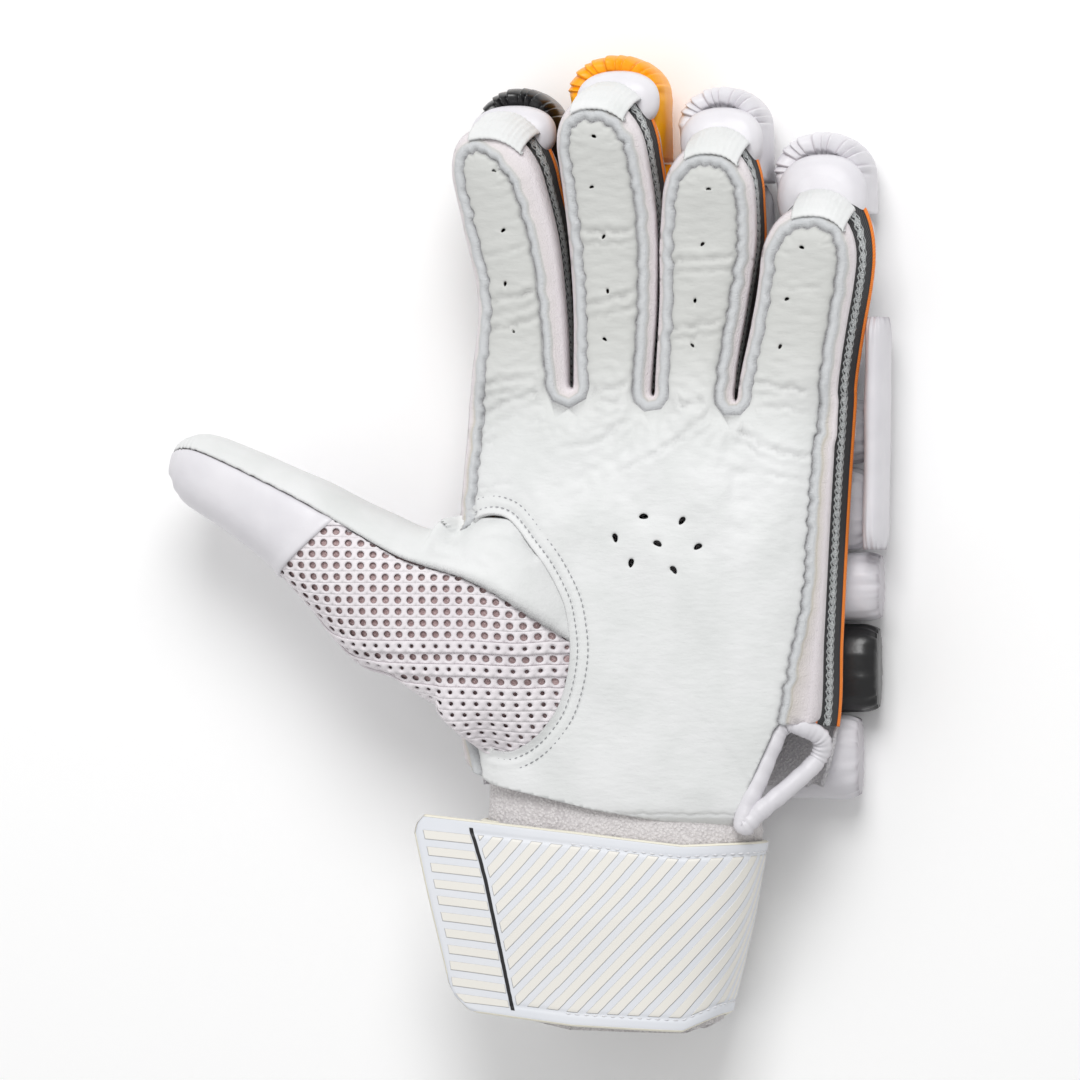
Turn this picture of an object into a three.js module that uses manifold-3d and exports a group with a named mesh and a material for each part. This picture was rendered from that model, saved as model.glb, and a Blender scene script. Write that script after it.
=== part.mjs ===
// A left-hand cricket batting glove that lies palm up on its padded back, in millimetres.
// +X runs to the little finger, +Y to the fingertips and +Z up out of the palm.
// The origin is on the floor, under the middle of the palm, on the flat of a back roll.
import * as THREE from 'three';
import { mergeVertices } from 'three/addons/utils/BufferGeometryUtils.js';
import Module from 'manifold-3d';

const wasm = await Module();
wasm.setup();

// Driving sizes
const palmWidth = 112; // across the palm leather below the fingers
const palmLength = 130; // from the wrist edge to the roots of the fingers
const handDepth = 32.4; // back cloth to palm leather at the middle of the palm, outside
const fingerDepth = 27.6; // the same in a finger
const longestFinger = 85; // middle finger, from the root line to the tip of its leather
const curlRise = 12; // how far the tip of the longest finger rises out of the palm's plane
const wall = 1.8; // leather, side tape and back cloth
const seatGap = 0.35; // left between pieces that lie against each other
const padDepth = 19; // rolls under the back of the hand and the fingers
const floorFlat = 1.3; // how much the floor flattens a roll
const sideBulge = 3.4; // how far the tape on the little finger's side stands out
const ventHole = 3; // across a punched hole in the palm
const thumbReach = 148.5; // from the middle of the palm to the tip of the thumb
const thumbWidth = 29; // over the first joint of the thumb
const thumbDepth = 29; // the same, from the back of the thumb to its front
const thumbGuard = 12; // thickness of the pads behind the thumb
const cuffWidth = 83; // towelling cuff where it leaves the palm
const cuffWall = 2.4;
const cuffLength = 86; // from inside the palm to the wrist opening
const tipFlare = 10; // how far the back of a fingertip stands out past its front
const strapWidth = 57;
const strapThickness = 2.2;
const strapEase = 0.8; // room between the strap and the cuff
const tabLength = 20; // how far the strap's end stands past the cuff
const sideGuard = 6.6; // thickness of the pad on the little finger's side
const bindingWidth = 5.6; // rolled edge of the side vent
const loopWidth = 18; // leather loop over a fingertip
const loopThickness = 1.3;

// Places that follow from the sizes
const rootY = 0.477 * palmLength;
const wristY = rootY - palmLength;
const backZ = padDepth + seatGap;
const curlStart = rootY + 0.15 * longestFinger;
const reachY = rootY + longestFinger;
const seamZ = backZ + 0.67 * handDepth; // leather above, side tape below
const clothZ = backZ + 0.18 * handDepth; // side tape above, back cloth below
const farAway = 4 * palmLength;
const past = wall; // how far a cutting shape runs past what it cuts

const paint = (color, roughness) =>
  new THREE.MeshStandardMaterial({ color, roughness, metalness: 0 });
const palmWhite = paint(0xdfe1de, 0.55);
const coatedWhite = paint(0xf0eef0, 0.4);
const coatedBlack = paint(0x1c1d1f, 0.4);
const coatedOrange = paint(0xff9a12, 0.4);
const tapeBlack = paint(0x17171a, 0.85);
const clothWhite = paint(0xebe9eb, 0.9);
const strapWhite = paint(0xe8ebf0, 0.35);

// Rise of the fingers out of the palm's plane at a place along the hand.
const curl = (y) => {
  const along = Math.max(0, y - curlStart) / (reachY - curlStart);
  return curlRise * along * along;
};

const lerp = THREE.MathUtils.lerp;

// The row of a table at a place between its rows, column by column.
function between(rows, key, value) {
  let k = rows.findIndex((row) => row[key] > value) - 1;
  if (k < 0) k = value <= rows[0][key] ? 0 : rows.length - 2;
  const [a, b] = [rows[k], rows[k + 1]];
  const share = (value - a[key]) / (b[key] - a[key]);
  return Object.fromEntries(Object.keys(a).map((name) => [name, lerp(a[name], b[name], share)]));
}

// The faces that fill a ring whose outline is round enough for strips straight across it.
function acrossRing(count) {
  const faces = [];
  for (let k = 0; k < count / 2; k++) {
    const [near, far] = [k, k + 1];
    const [nearBack, farBack] = [(count - near) % count, count - far];
    if (far !== farBack) faces.push([near, far, farBack]);
    if (near !== nearBack) faces.push([near, farBack, nearBack]);
  }
  return faces;
}

// The faces that fill a ring of any outline, seen flat.
function cutRing(outline) {
  const turned = THREE.ShapeUtils.isClockWise(outline);
  const faces = THREE.ShapeUtils.triangulateShape(turned ? outline.toReversed() : outline.slice(), []);
  return turned ? faces.map((face) => face.map((k) => outline.length - 1 - k).reverse()) : faces;
}

// A closed solid from rings of equally many points, its two ends filled. A ring whose outline has
// hollows comes with the flat view that its ends are cut in.
function loft(rings, flat) {
  const count = rings[0].length;
  const faces = [];
  for (let r = 0; r + 1 < rings.length; r++) {
    for (let k = 0; k < count; k++) {
      const a = r * count + k;
      const b = r * count + ((k + 1) % count);
      faces.push([a, b, b + count], [a, b + count, a + count]);
    }
  }
  const last = (rings.length - 1) * count;
  const ends = [rings[0], rings.at(-1)].map((ring) => (flat ? cutRing(ring.map(flat)) : acrossRing(count)));
  faces.push(...ends[0].map(([a, b, c]) => [a, c, b]));
  faces.push(...ends[1].map((face) => face.map((k) => last + k)));
  return facingOut(rings.flat(), faces);
}

// A closed ring of sections, such as a rolled edge that runs into itself.
function loop(rings) {
  const count = rings[0].length;
  const faces = [];
  rings.forEach((ring, r) => {
    const here = r * count;
    const next = ((r + 1) % rings.length) * count;
    ring.forEach((point, k) => {
      const b = (k + 1) % count;
      faces.push([here + k, here + b, next + b], [here + k, next + b, next + k]);
    });
  });
  return facingOut(rings.flat(), faces);
}

// Points and faces as a solid, turned so that every face points out.
function facingOut(points, faces) {
  let volume = 0;
  for (const [a, b, c] of faces) {
    volume += points[a].dot(new THREE.Vector3().crossVectors(points[b], points[c]));
  }
  const outward = volume < 0 ? faces.map(([a, b, c]) => [a, c, b]) : faces;
  const geometry = new THREE.BufferGeometry().setFromPoints(points);
  geometry.setIndex(outward.flat());
  return solid(geometry);
}

function solid(geometry) {
  const bare = geometry.clone();
  bare.deleteAttribute('normal');
  bare.deleteAttribute('uv');
  const merged = mergeVertices(bare, 1e-4);
  return new wasm.Manifold(
    new wasm.Mesh({
      numProp: 3,
      vertProperties: merged.attributes.position.array,
      triVerts: new Uint32Array(merged.index.array),
    }),
  );
}

// A region over a plan outline, from far below to far above.
function planRegion(outline) {
  const shape = new THREE.Shape(outline.map(([x, y]) => new THREE.Vector2(x, y)));
  const geometry = new THREE.ExtrudeGeometry(shape, { depth: farAway, bevelEnabled: false });
  return solid(geometry.translate(0, 0, -farAway / 2));
}

// The layer between two heights that both follow the curl of the fingers.
function layer(low, high) {
  const steps = Array.from({ length: 5 }, (unused, k) => lerp(curlStart, reachY + palmLength / 5, k / 4));
  const along = [-farAway / 2, ...steps, farAway / 2];
  const rise = (y) => curl(Math.min(y, steps.at(-1)));
  const outline = [
    ...along.map((y) => new THREE.Vector2(y, low + rise(y))),
    ...along.toReversed().map((y) => new THREE.Vector2(y, high + rise(y))),
  ];
  const geometry = new THREE.ExtrudeGeometry(new THREE.Shape(outline), { depth: farAway, bevelEnabled: false });
  const turned = new THREE.Matrix4().makeBasis(
    new THREE.Vector3(0, 1, 0),
    new THREE.Vector3(0, 0, 1),
    new THREE.Vector3(1, 0, 0),
  );
  return solid(geometry.translate(0, 0, -farAway / 2).applyMatrix4(turned));
}

// A point of a rounded rectangle: its corners get squarer as the power grows.
function rounded(angle, halfX, halfZ, power) {
  const [c, s] = [Math.cos(angle), Math.sin(angle)];
  return [
    halfX * Math.sign(c) * Math.abs(c) ** (2 / power),
    halfZ * Math.sign(s) * Math.abs(s) ** (2 / power),
  ];
}

// A cross-section of the hand or a finger at one place along it. A bulge pushes its right side out,
// and a flare moves its back on from its front, to the right and along.
function handRing({ y, left, right, bottom, top, bulge = 0, flare = [0, 0], power = 3.2, count }) {
  return Array.from({ length: count }, (unused, k) => {
    const [dx, dz] = rounded((2 * Math.PI * k) / count, (right - left) / 2, (top - bottom) / 2, power);
    const height = 0.5 + dz / (top - bottom);
    const push = dx > 0 ? bulge * Math.sin(Math.PI * Math.min(1, Math.max(0, 1.45 * (0.69 - height) + 0.12))) : 0;
    const back = 1 - height;
    const x = (left + right) / 2 + dx + push + flare[0] * back;
    return new THREE.Vector3(x, y + flare[1] * back, (bottom + top) / 2 + dz + curl(y));
  });
}

// Palm sections as shares: up the palm, left and right of its width, top of its depth.
const palmRows = [
  { up: 0.0, left: -0.46, right: 0.38, top: 0.95 },
  { up: 0.1, left: -0.478, right: 0.43, top: 0.965 },
  { up: 0.23, left: -0.505, right: 0.467, top: 0.985 },
  { up: 0.43, left: -0.509, right: 0.478, top: 1.0 },
  { up: 0.64, left: -0.509, right: 0.49, top: 1.0 },
  { up: 0.83, left: -0.492, right: 0.503, top: 0.955 },
  { up: 0.955, left: -0.478, right: 0.513, top: 0.885 },
];

// Each finger: its length as a share of the longest, its sides as shares of the palm's width at
// shares of its own length, how far its pads lean to the right, and how far its band and its pad
// pass its tip, over the depth of the pads.
const fingers = [
  {
    name: 'index',
    length: 0.9,
    rows: [
      { up: -0.18, left: -0.474, right: -0.214 },
      { up: 0.0, left: -0.475, right: -0.213 },
      { up: 0.4, left: -0.457, right: -0.227 },
      { up: 0.62, left: -0.489, right: -0.244 },
      { up: 0.84, left: -0.519, right: -0.278 },
    ],
    lean: 0.05,
    bandReach: 0.553,
    tipReach: 0.842,
    tipPaint: coatedBlack,
  },
  {
    name: 'middle',
    length: 1,
    rows: [
      { up: -0.16, left: -0.193, right: 0.008 },
      { up: 0.0, left: -0.194, right: 0.01 },
      { up: 0.33, left: -0.195, right: 0.025 },
      { up: 0.68, left: -0.214, right: 0.024 },
      { up: 0.86, left: -0.228, right: 0.006 },
    ],
    lean: 0.042,
    bandReach: 0.632,
    tipReach: 0.895,
    tipPaint: coatedOrange,
  },
  {
    name: 'ring',
    length: 0.84,
    rows: [
      { up: -0.19, left: 0.028, right: 0.234 },
      { up: 0.0, left: 0.029, right: 0.236 },
      { up: 0.42, left: 0.043, right: 0.277 },
      { up: 0.64, left: 0.046, right: 0.3 },
      { up: 0.82, left: 0.058, right: 0.3 },
    ],
    lean: 0.006,
    bandReach: 0.763,
    tipReach: 1.105,
    tipPaint: coatedWhite,
  },
  {
    name: 'little',
    length: 0.62,
    rows: [
      { up: -0.26, left: 0.253, right: 0.512 },
      { up: 0.0, left: 0.255, right: 0.514 },
      { up: 0.35, left: 0.288, right: 0.536 },
      { up: 0.65, left: 0.314, right: 0.562 },
      { up: 0.8, left: 0.322, right: 0.571 },
    ],
    lean: 0.0,
    bulge: sideBulge,
    bandReach: 1,
    tipReach: 1.368,
    tipPaint: coatedWhite,
  },
];
fingers.forEach((finger) => {
  finger.tipY = rootY + finger.length * longestFinger;
  finger.endY = finger.tipY + finger.tipReach * padDepth;
});

// The sides of a finger at a place along the hand.
function fingerSides(finger, y) {
  const { left, right } = between(finger.rows, 'up', (y - rootY) / (finger.tipY - rootY));
  return { left: left * palmWidth, right: right * palmWidth };
}

// The rounded end of a finger, as turns from its straight part to its tip.
const tipTurns = [0, 30, 56, 77].map(THREE.MathUtils.degToRad);

// How far the back of a finger lies to the right of its front at a share of its length.
const leanAt = (finger, share) => finger.lean * palmWidth * Math.max(0, share);

function fingerBody(finger, grow) {
  const { left: l, right: r } = fingerSides(finger, finger.tipY);
  const round = (r - l) / 2;
  const startY = finger.tipY - round;
  const rings = finger.rows
    .map(({ up }) => rootY + up * (finger.tipY - rootY))
    .filter((y) => y < startY - past)
    .map((y) => ({ y, narrow: 1, on: 0, ...fingerSides(finger, y) }));
  tipTurns.forEach((turn) => {
    const on = Math.sin(turn) / Math.sin(tipTurns.at(-1));
    const sides = fingerSides(finger, startY + round * on);
    rings.push({ y: startY + (round + grow) * on, narrow: Math.cos(turn) ** 0.85, on, ...sides });
  });
  return loft(
    rings.map(({ y, narrow, on, left, right }) => {
      const middle = (left + right) / 2;
      const half = Math.max(0.3, ((right - left) / 2) * narrow + grow);
      const flatten = 0.16 * fingerDepth * (1 - narrow);
      return handRing({
        y,
        left: middle - half,
        right: middle + half,
        bottom: backZ - grow + flatten,
        top: backZ + fingerDepth + grow - flatten,
        bulge: (finger.bulge ?? 0) * narrow,
        flare: [0.7 * leanAt(finger, (y - rootY) / (finger.tipY - rootY)), tipFlare * on],
        count: 12,
      });
    }),
  );
}

// The palm: its wrist end runs on when it is the hollow, so that the hollow is open there.
function palmBody(grow) {
  const rows = palmRows.map(({ up, left, right, top }) => ({
    y: wristY + up * palmLength,
    left: left * palmWidth - grow,
    right: right * palmWidth + grow,
    top: backZ + top * handDepth + grow,
  }));
  rows[0].y -= grow < 0 ? palmLength / 10 : 0;
  const end = rows.at(-1);
  const web = 0.035 * palmWidth;
  rows.push({ ...end, y: rootY - 0.25 * web + grow, left: end.left + 0.4 * web, right: end.right - 0.4 * web });
  rows.push({ ...end, y: rootY + grow, left: end.left + web, right: end.right - web, top: end.top - 0.3 * web });
  return loft(rows.map((row) => handRing({ ...row, bottom: backZ - grow, bulge: sideBulge, count: 16 })));
}

const handBody = (grow) => fingers.reduce((body, finger) => body.add(fingerBody(finger, grow)), palmBody(grow));

// Thumb sections as shares: out along the reach, up the palm's length, half the width and depth
// over those at the first joint, height over the hand's depth, and where the seam between the
// leather and the mesh runs over the half width.
const thumbRows = [
  { out: 0.107, up: -0.154, wide: 0.9, deep: 0.8, high: 0.58, seam: 0.2 },
  { out: 0.18, up: -0.123, wide: 2.1, deep: 1.1, high: 0.62, seam: 0.14 },
  { out: 0.273, up: -0.073, wide: 2.5, deep: 1.33, high: 0.69, seam: 0.17 },
  { out: 0.367, up: -0.031, wide: 2.1, deep: 1.33, high: 0.69, seam: 0.27 },
  { out: 0.487, up: -0.009, wide: 1.66, deep: 1.22, high: 0.7, seam: 0.5 },
  { out: 0.601, up: 0.076, wide: 1.29, deep: 1.1, high: 0.69, seam: 0.56 },
  { out: 0.718, up: 0.171, wide: 1.0, deep: 1.0, high: 0.67, seam: 0.56 },
  { out: 0.827, up: 0.245, wide: 0.85, deep: 0.88, high: 0.63, seam: 0.54 },
  { out: 0.924, up: 0.307, wide: 0.72, deep: 0.75, high: 0.6, seam: 0.5 },
  { out: 0.963, up: 0.332, wide: 0.55, deep: 0.56, high: 0.59, seam: 0.4 },
  { out: 0.985, up: 0.347, wide: 0.27, deep: 0.28, high: 0.59, seam: 0.2 },
];

// A thumb section as a place, a direction along the thumb and its half sizes.
function thumbPlace(row) {
  const place = (r) => new THREE.Vector3(-r.out * thumbReach, r.up * palmLength, backZ + r.high * handDepth);
  const here = thumbRows.findIndex((r) => r.out >= row.out - 1e-9);
  const before = thumbRows[Math.max(0, here - 1)];
  const after = thumbRows[Math.min(thumbRows.length - 1, here + 1)];
  const along = place(after).sub(place(before)).setZ(0).normalize();
  return {
    centre: place(row),
    along,
    side: new THREE.Vector3(along.y, -along.x, 0),
    halfWidth: (row.wide * thumbWidth) / 2,
    halfDepth: (row.deep * thumbDepth) / 2,
  };
}

function thumbRing(place, halfWidth, halfDepth, drop, power, count) {
  return Array.from({ length: count }, (unused, k) => {
    const [across, up] = rounded((2 * Math.PI * k) / count, halfWidth, halfDepth, power);
    return place.centre.clone().addScaledVector(place.side, across).add(new THREE.Vector3(0, 0, up - drop));
  });
}

function thumbBody(grow) {
  const places = thumbRows.map(thumbPlace);
  const tip = places.at(-1);
  tip.centre.addScaledVector(tip.along, grow);
  const rings = places.map((p) => thumbRing(p, p.halfWidth + grow, p.halfDepth + grow, 0, 2.3, 14));
  return loft(rings);
}

// The plan outline over the leather side of the thumb.
const thumbSeam = thumbRows.map((row) => {
  const { centre, side, halfWidth } = thumbPlace(row);
  return centre.clone().addScaledVector(side, row.seam * halfWidth);
});
const seamEnd = thumbSeam.at(-1);
const leatherSide = (shift) => planRegion([
  [thumbSeam[0].x + palmWidth, thumbSeam[0].y - palmLength / 3 + shift],
  ...thumbSeam.map(({ x, y }) => [x, y + shift]),
  [seamEnd.x - palmWidth, seamEnd.y + shift],
  [seamEnd.x - palmWidth, farAway / 4],
  [thumbSeam[0].x + palmWidth, farAway / 4],
]);

// The tip cover ends on a slanted line over the first joint.
const coverLine = [
  new THREE.Vector2(-0.6 * thumbReach, 0.21 * palmLength),
  new THREE.Vector2(-0.775 * thumbReach, 0.035 * palmLength),
];
function coverSide(shift) {
  const [near, far] = coverLine.map((p) => new THREE.Vector2(p.x - shift, p.y));
  const on = new THREE.Vector2().subVectors(near, far).setLength(palmLength / 2);
  return planRegion([
    [near.x + on.x, near.y + on.y],
    [far.x - on.x, far.y - on.y],
    [-2 * thumbReach, far.y - on.y],
    [-2 * thumbReach, near.y + on.y],
  ]);
}

// A place over the palm by shares of its width, length and depth.
const over = (across, up, deep) => new THREE.Vector3(across * palmWidth, up * palmLength, backZ + deep * handDepth);

// The rolled edge round the side vent, as points along its middle.
const ventPoints = [
  { across: 0.378, up: -0.287, deep: 0.76 },
  { across: 0.428, up: -0.291, deep: 0.74 },
  { across: 0.474, up: -0.32, deep: 0.62 },
  { across: 0.457, up: -0.368, deep: 0.56 },
  { across: 0.395, up: -0.425, deep: 0.7 },
  { across: 0.325, up: -0.48, deep: 0.86 },
  { across: 0.276, up: -0.519, deep: 0.88 },
  { across: 0.282, up: -0.482, deep: 0.87 },
  { across: 0.318, up: -0.405, deep: 0.83 },
  { across: 0.348, up: -0.338, deep: 0.8 },
];
function binding(grow) {
  const path = new THREE.CatmullRomCurve3(ventPoints.map(({ across, up, deep }) => over(across, up, deep)), true);
  const steps = 18;
  const count = 6;
  const radius = bindingWidth / 2 + grow;
  return loop(
    Array.from({ length: steps }, (unused, k) => {
      const centre = path.getPointAt(k / steps);
      const ahead = path.getTangentAt(k / steps);
      const flatSide = new THREE.Vector3(ahead.y, -ahead.x, 0).normalize();
      const upright = new THREE.Vector3().crossVectors(flatSide, ahead).normalize();
      return Array.from({ length: count }, (also, j) => {
        const turn = (2 * Math.PI * j) / count;
        return centre
          .clone()
          .addScaledVector(flatSide, radius * Math.cos(turn))
          .addScaledVector(upright, radius * Math.sin(turn));
      });
    }),
  );
}

// Towelling cuff sections: how far from its inner end, left and right of its width, and heights.
const cuffX = -0.07 * palmWidth;
const cuffTuck = {
  bottom: backZ + wall + 1.6 * seatGap,
  top: backZ + palmRows[0].top * handDepth - wall - 1.3 * seatGap,
};
const cuffRows = [
  { down: 0.0, shift: 0, wide: 0.97, ...cuffTuck },
  { down: 0.29, shift: 0, wide: 1.0, ...cuffTuck },
  { down: 0.38, shift: -0.015, wide: 0.97, bottom: 0.62 * backZ, top: backZ + 0.9 * handDepth },
  { down: 0.6, shift: -0.03, wide: 0.91, bottom: 0.52 * backZ, top: backZ + 0.93 * handDepth },
  { down: 1.0, shift: -0.055, wide: 0.77, bottom: 0.52 * backZ, top: backZ + 0.93 * handDepth },
];
const cuffTopY = wristY + 0.185 * palmLength;
const cuffEndY = cuffTopY - cuffLength;
function cuffSection(y) {
  const row = between(cuffRows, 'down', (cuffTopY - y) / cuffLength);
  return {
    centre: cuffX + row.shift * cuffWidth,
    half: (row.wide * cuffWidth) / 2,
    bottom: row.bottom,
    top: row.top,
  };
}

function cuffBody(grow) {
  const ends = grow < 0 ? past : 0;
  return loft(
    cuffRows.map(({ down }, k) => {
      const y = cuffTopY - down * cuffLength;
      const { centre, half, bottom, top } = cuffSection(y);
      return handRing({
        y: y + (k === 0 ? ends : 0) - (down === 1 ? ends : 0),
        left: centre - half - grow,
        right: centre + half + grow,
        bottom: bottom - grow,
        top: top + grow,
        count: 16,
      });
    }),
  );
}

// The cuff's lower edge, and the strap's outline, as shares: across the strap from the free end of
// its tab, and down the strap's width from its upper edge there.
const cuffEdge = [
  { across: -0.3, down: 1.0 },
  { across: 0.17, down: 1.02 },
  { across: 0.46, down: 1.14 },
  { across: 0.8, down: 1.155 },
  { across: 0.9, down: 1.07 },
  { across: 1.3, down: 0.98 },
];
const strapEdge = [
  { across: 0.0, down: 0.075 },
  { across: 0.025, down: 0.0 },
  { across: 0.8, down: 0.154 },
  { across: 1.15, down: 0.13 },
  { across: 1.15, down: 0.96 },
  { across: 0.9, down: 1.055 },
  { across: 0.8, down: 1.137 },
  { across: 0.47, down: 1.11 },
  { across: 0.17, down: 1.04 },
  { across: 0.123, down: 0.96 },
  { across: 0.105, down: 0.89 },
];
const strapX = cuffX - cuffWidth / 2 - tabLength;
const strapY = wristY + 0.029 * palmLength;
const onStrap = ({ across, down }) => [strapX + across * (tabLength + cuffWidth), strapY - down * strapWidth];

// The cuff inside its lower edge.
const cuffPlan = planRegion([
  [-farAway / 4, palmLength],
  ...cuffEdge.map(onStrap),
  [farAway / 4, palmLength],
]);

// The strap: from the free end of its tab over the front, round the right side and the back, and
// up the left side to just under the tab.
function strap() {
  const count = 17;
  const station = (y) => {
    const { centre, half, bottom, top } = cuffSection(Math.max(y, cuffEndY));
    const line = (out) =>
      Array.from({ length: count }, (unused, k) => {
        const turn = lerp(0.56 * Math.PI, -1.21 * Math.PI, k / (count - 1));
        const [dx, dz] = rounded(turn, half + out, (top - bottom) / 2 + out, 3.2);
        return [centre + dx, (top + bottom) / 2 + dz];
      });
    const outer = line(strapEase + strapThickness);
    const inner = line(strapEase);
    const edge = strapX - past;
    const outline = [[edge, outer[0][1]], ...outer, ...inner.toReversed(), [edge, inner[0][1]]];
    return outline.map(([x, z]) => new THREE.Vector3(x, y, z));
  };
  const startY = strapY + past;
  const endY = cuffEndY - past;
  const rowY = cuffRows.map(({ down }) => cuffTopY - down * cuffLength).filter((y) => y < startY && y > endY);
  const whole = loft([startY, ...rowY, endY].map(station), (p) => new THREE.Vector2(p.x, p.z));
  return whole.intersect(planRegion(strapEdge.map(onStrap)));
}

// A padded roll along Y: full in the middle, drawn in at both ends, flat where it meets the floor.
const rollShares = [0, 0.08, 0.3, 0.7, 0.92, 1];
const rollFull = [0.74, 0.91, 1, 1, 0.91, 0.74];
function fingerRoll(finger, fromY, toY) {
  return loft(
    rollShares.map((share, k) => {
      const y = lerp(fromY, toY, share);
      const { left, right } = fingerSides(finger, Math.min(y, finger.tipY));
      const middle = (left + right) / 2 + leanAt(finger, (y - rootY) / (finger.tipY - rootY));
      const half = ((right - left) / 2 - seatGap) * lerp(0.9, 1, rollFull[k]) * 0.985;
      const top = padDepth - (1 - rollFull[k]) * 0.2 * padDepth;
      const bottom = (1 - rollFull[k]) * 0.55 * padDepth - floorFlat;
      const ring = handRing({ y, left: middle - half, right: middle + half, bottom, top, power: 2.8, count: 12 });
      ring.forEach((p) => {
        p.z = Math.max(p.z, curl(y));
      });
      return ring;
    }),
  );
}

// The pad over a fingertip, as plan outlines from the floor up: it passes the tip, rises in front
// of it, and its cover is gathered in pleats round the end.
const pleats = 11;
const tipLevels = [
  { up: 0.0, full: 0.78, fold: 0 },
  { up: 0.2, full: 0.97, fold: 0 },
  { up: 0.85, full: 1, fold: 0.02 },
  { up: 1.1, full: 0.93, fold: 0.05 },
  { up: 1.2, full: 0.78, fold: 0.07 },
];
function tipPad(finger, fromY) {
  const { left, right } = fingerSides(finger, finger.tipY);
  const half = (right - left) / 2 - seatGap;
  const round = 0.92 * half;
  const middleAt = (y) => (left + right) / 2 + leanAt(finger, (y - rootY) / (finger.tipY - rootY));
  const endY = finger.endY - round;
  const endX = middleAt(finger.tipY);
  return loft(
    tipLevels.map(({ up, full, fold }) => {
      const back = fromY + 0.4 * padDepth * (1 - full);
      const point = (x, y) => new THREE.Vector3(x, y, up * padDepth + curl(Math.min(y, finger.tipY)));
      const wide = half * lerp(0.5, 1, full);
      const end = Array.from({ length: 2 * pleats + 1 }, (unused, k) => {
        const turn = (Math.PI * k) / (2 * pleats);
        const size = full * (1 + fold * (k % 2 ? -1 : 1));
        return point(endX + half * size * Math.cos(turn), endY + round * size * Math.sin(turn));
      });
      return [...end, point(middleAt(back) - wide, back), point(middleAt(back) + wide, back)];
    }),
    (p) => new THREE.Vector2(p.x, p.y),
  );
}

// The smooth band between a fingertip and its gathered pad, before the finger is cut out of it.
const bandLevels = [
  { up: 0.1, full: 0.97 },
  { up: 0.2, full: 1 },
  { up: 0.27, full: 0.95 },
  { up: 0.31, full: 0.84 },
];
function tipBand(finger, grow) {
  const { left, right } = fingerSides(finger, finger.tipY);
  const middle = (left + right) / 2 + 0.9 * leanAt(finger, 1);
  const half = (right - left) / 2 - seatGap + grow;
  const rise = curl(finger.tipY);
  const backY = finger.tipY - 0.5 * half;
  const frontY = finger.tipY + finger.bandReach * padDepth + grow;
  return loft(
    bandLevels.map(({ up, full }, k) =>
      Array.from({ length: 14 }, (unused, j) => {
        const [dx, dy] = rounded((2 * Math.PI * j) / 14, half * full, ((frontY - backY) / 2) * full, 2.3);
        const z = backZ + up * fingerDepth + seatGap + rise + (k === 0 ? -grow : k === 3 ? grow : 0);
        return new THREE.Vector3(middle + dx, (frontY + backY) / 2 + dy, z);
      }),
    ),
  );
}

// The leather loop from the finger's seam down over the tape to the band: places as shares of how
// far the back of the tip stands out, and of the finger's depth.
const loopPlaces = [
  { on: -0.4, up: 0.957 },
  { on: 0.0, up: 0.9 },
  { on: 0.27, up: 0.75 },
  { on: 0.57, up: 0.5 },
  { on: 0.86, up: 0.335 },
];
function tipLoop(finger) {
  const { left, right } = fingerSides(finger, finger.tipY);
  const places = loopPlaces.map(({ on, up }) => {
    const y = finger.tipY + on * tipFlare;
    return new THREE.Vector2(y, backZ + up * fingerDepth + curl(Math.min(y, finger.tipY)) + seatGap);
  });
  return loft(
    places.map((place, k) => {
      const ahead = places[Math.min(k + 1, places.length - 1)].clone().sub(places[Math.max(k - 1, 0)]);
      const out = new THREE.Vector2(-ahead.y, ahead.x).setLength(loopThickness);
      const x = (left + right) / 2 + leanAt(finger, 0.3 + 0.4 * Math.max(0, loopPlaces[k].on));
      return [
        [-0.5, 0],
        [0.5, 0],
        [0.5, 1],
        [-0.5, 1],
      ].map(([side, up]) => new THREE.Vector3(x + side * loopWidth, place.x + up * out.x, place.y + up * out.y));
    }),
  );
}

// Rolls across the back of the hand, as shares of the palm's length and width. The two upper ones
// end beside the guard on the little finger's side.
const guardX = 0.522 * palmWidth + sideBulge;
const backRolls = [
  { name: 'back_roll_knuckle', low: 0.312, high: 0.468, left: -0.462, right: guardX / palmWidth, paint: coatedWhite },
  { name: 'back_roll_upper', low: 0.116, high: 0.308, left: -0.475, right: guardX / palmWidth, paint: coatedWhite },
  { name: 'back_roll_middle', low: -0.05, high: 0.112, left: -0.475, right: 0.592, paint: coatedWhite },
  { name: 'back_roll_lower', low: -0.262, high: -0.054, left: -0.472, right: 0.585, paint: coatedBlack },
  { name: 'back_roll_wrist', low: -0.462, high: -0.266, left: -0.43, right: 0.535, paint: coatedWhite },
];
function backRoll({ low, high, left, right }) {
  const inset = seatGap / 2;
  const middle = ((low + high) / 2) * palmLength;
  const half = ((high - low) / 2) * palmLength - inset;
  return loft(
    [0, 0.04, 0.13, 0.87, 0.96, 1].map((share, k) => {
      const x = lerp(left, right, share) * palmWidth;
      const full = [0.62, 0.86, 1, 1, 0.86, 0.62][k];
      const top = padDepth - (1 - full) * 0.12 * padDepth;
      const bottom = (1 - full) * 0.9 * padDepth - floorFlat;
      return Array.from({ length: 12 }, (unused, j) => {
        const [dy, dz] = rounded((2 * Math.PI * j) / 12, half * lerp(0.7, 1, full), (top - bottom) / 2, 2.8);
        return new THREE.Vector3(x, middle + dy, Math.max(0, (top + bottom) / 2 + dz));
      });
    }),
  );
}

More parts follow.
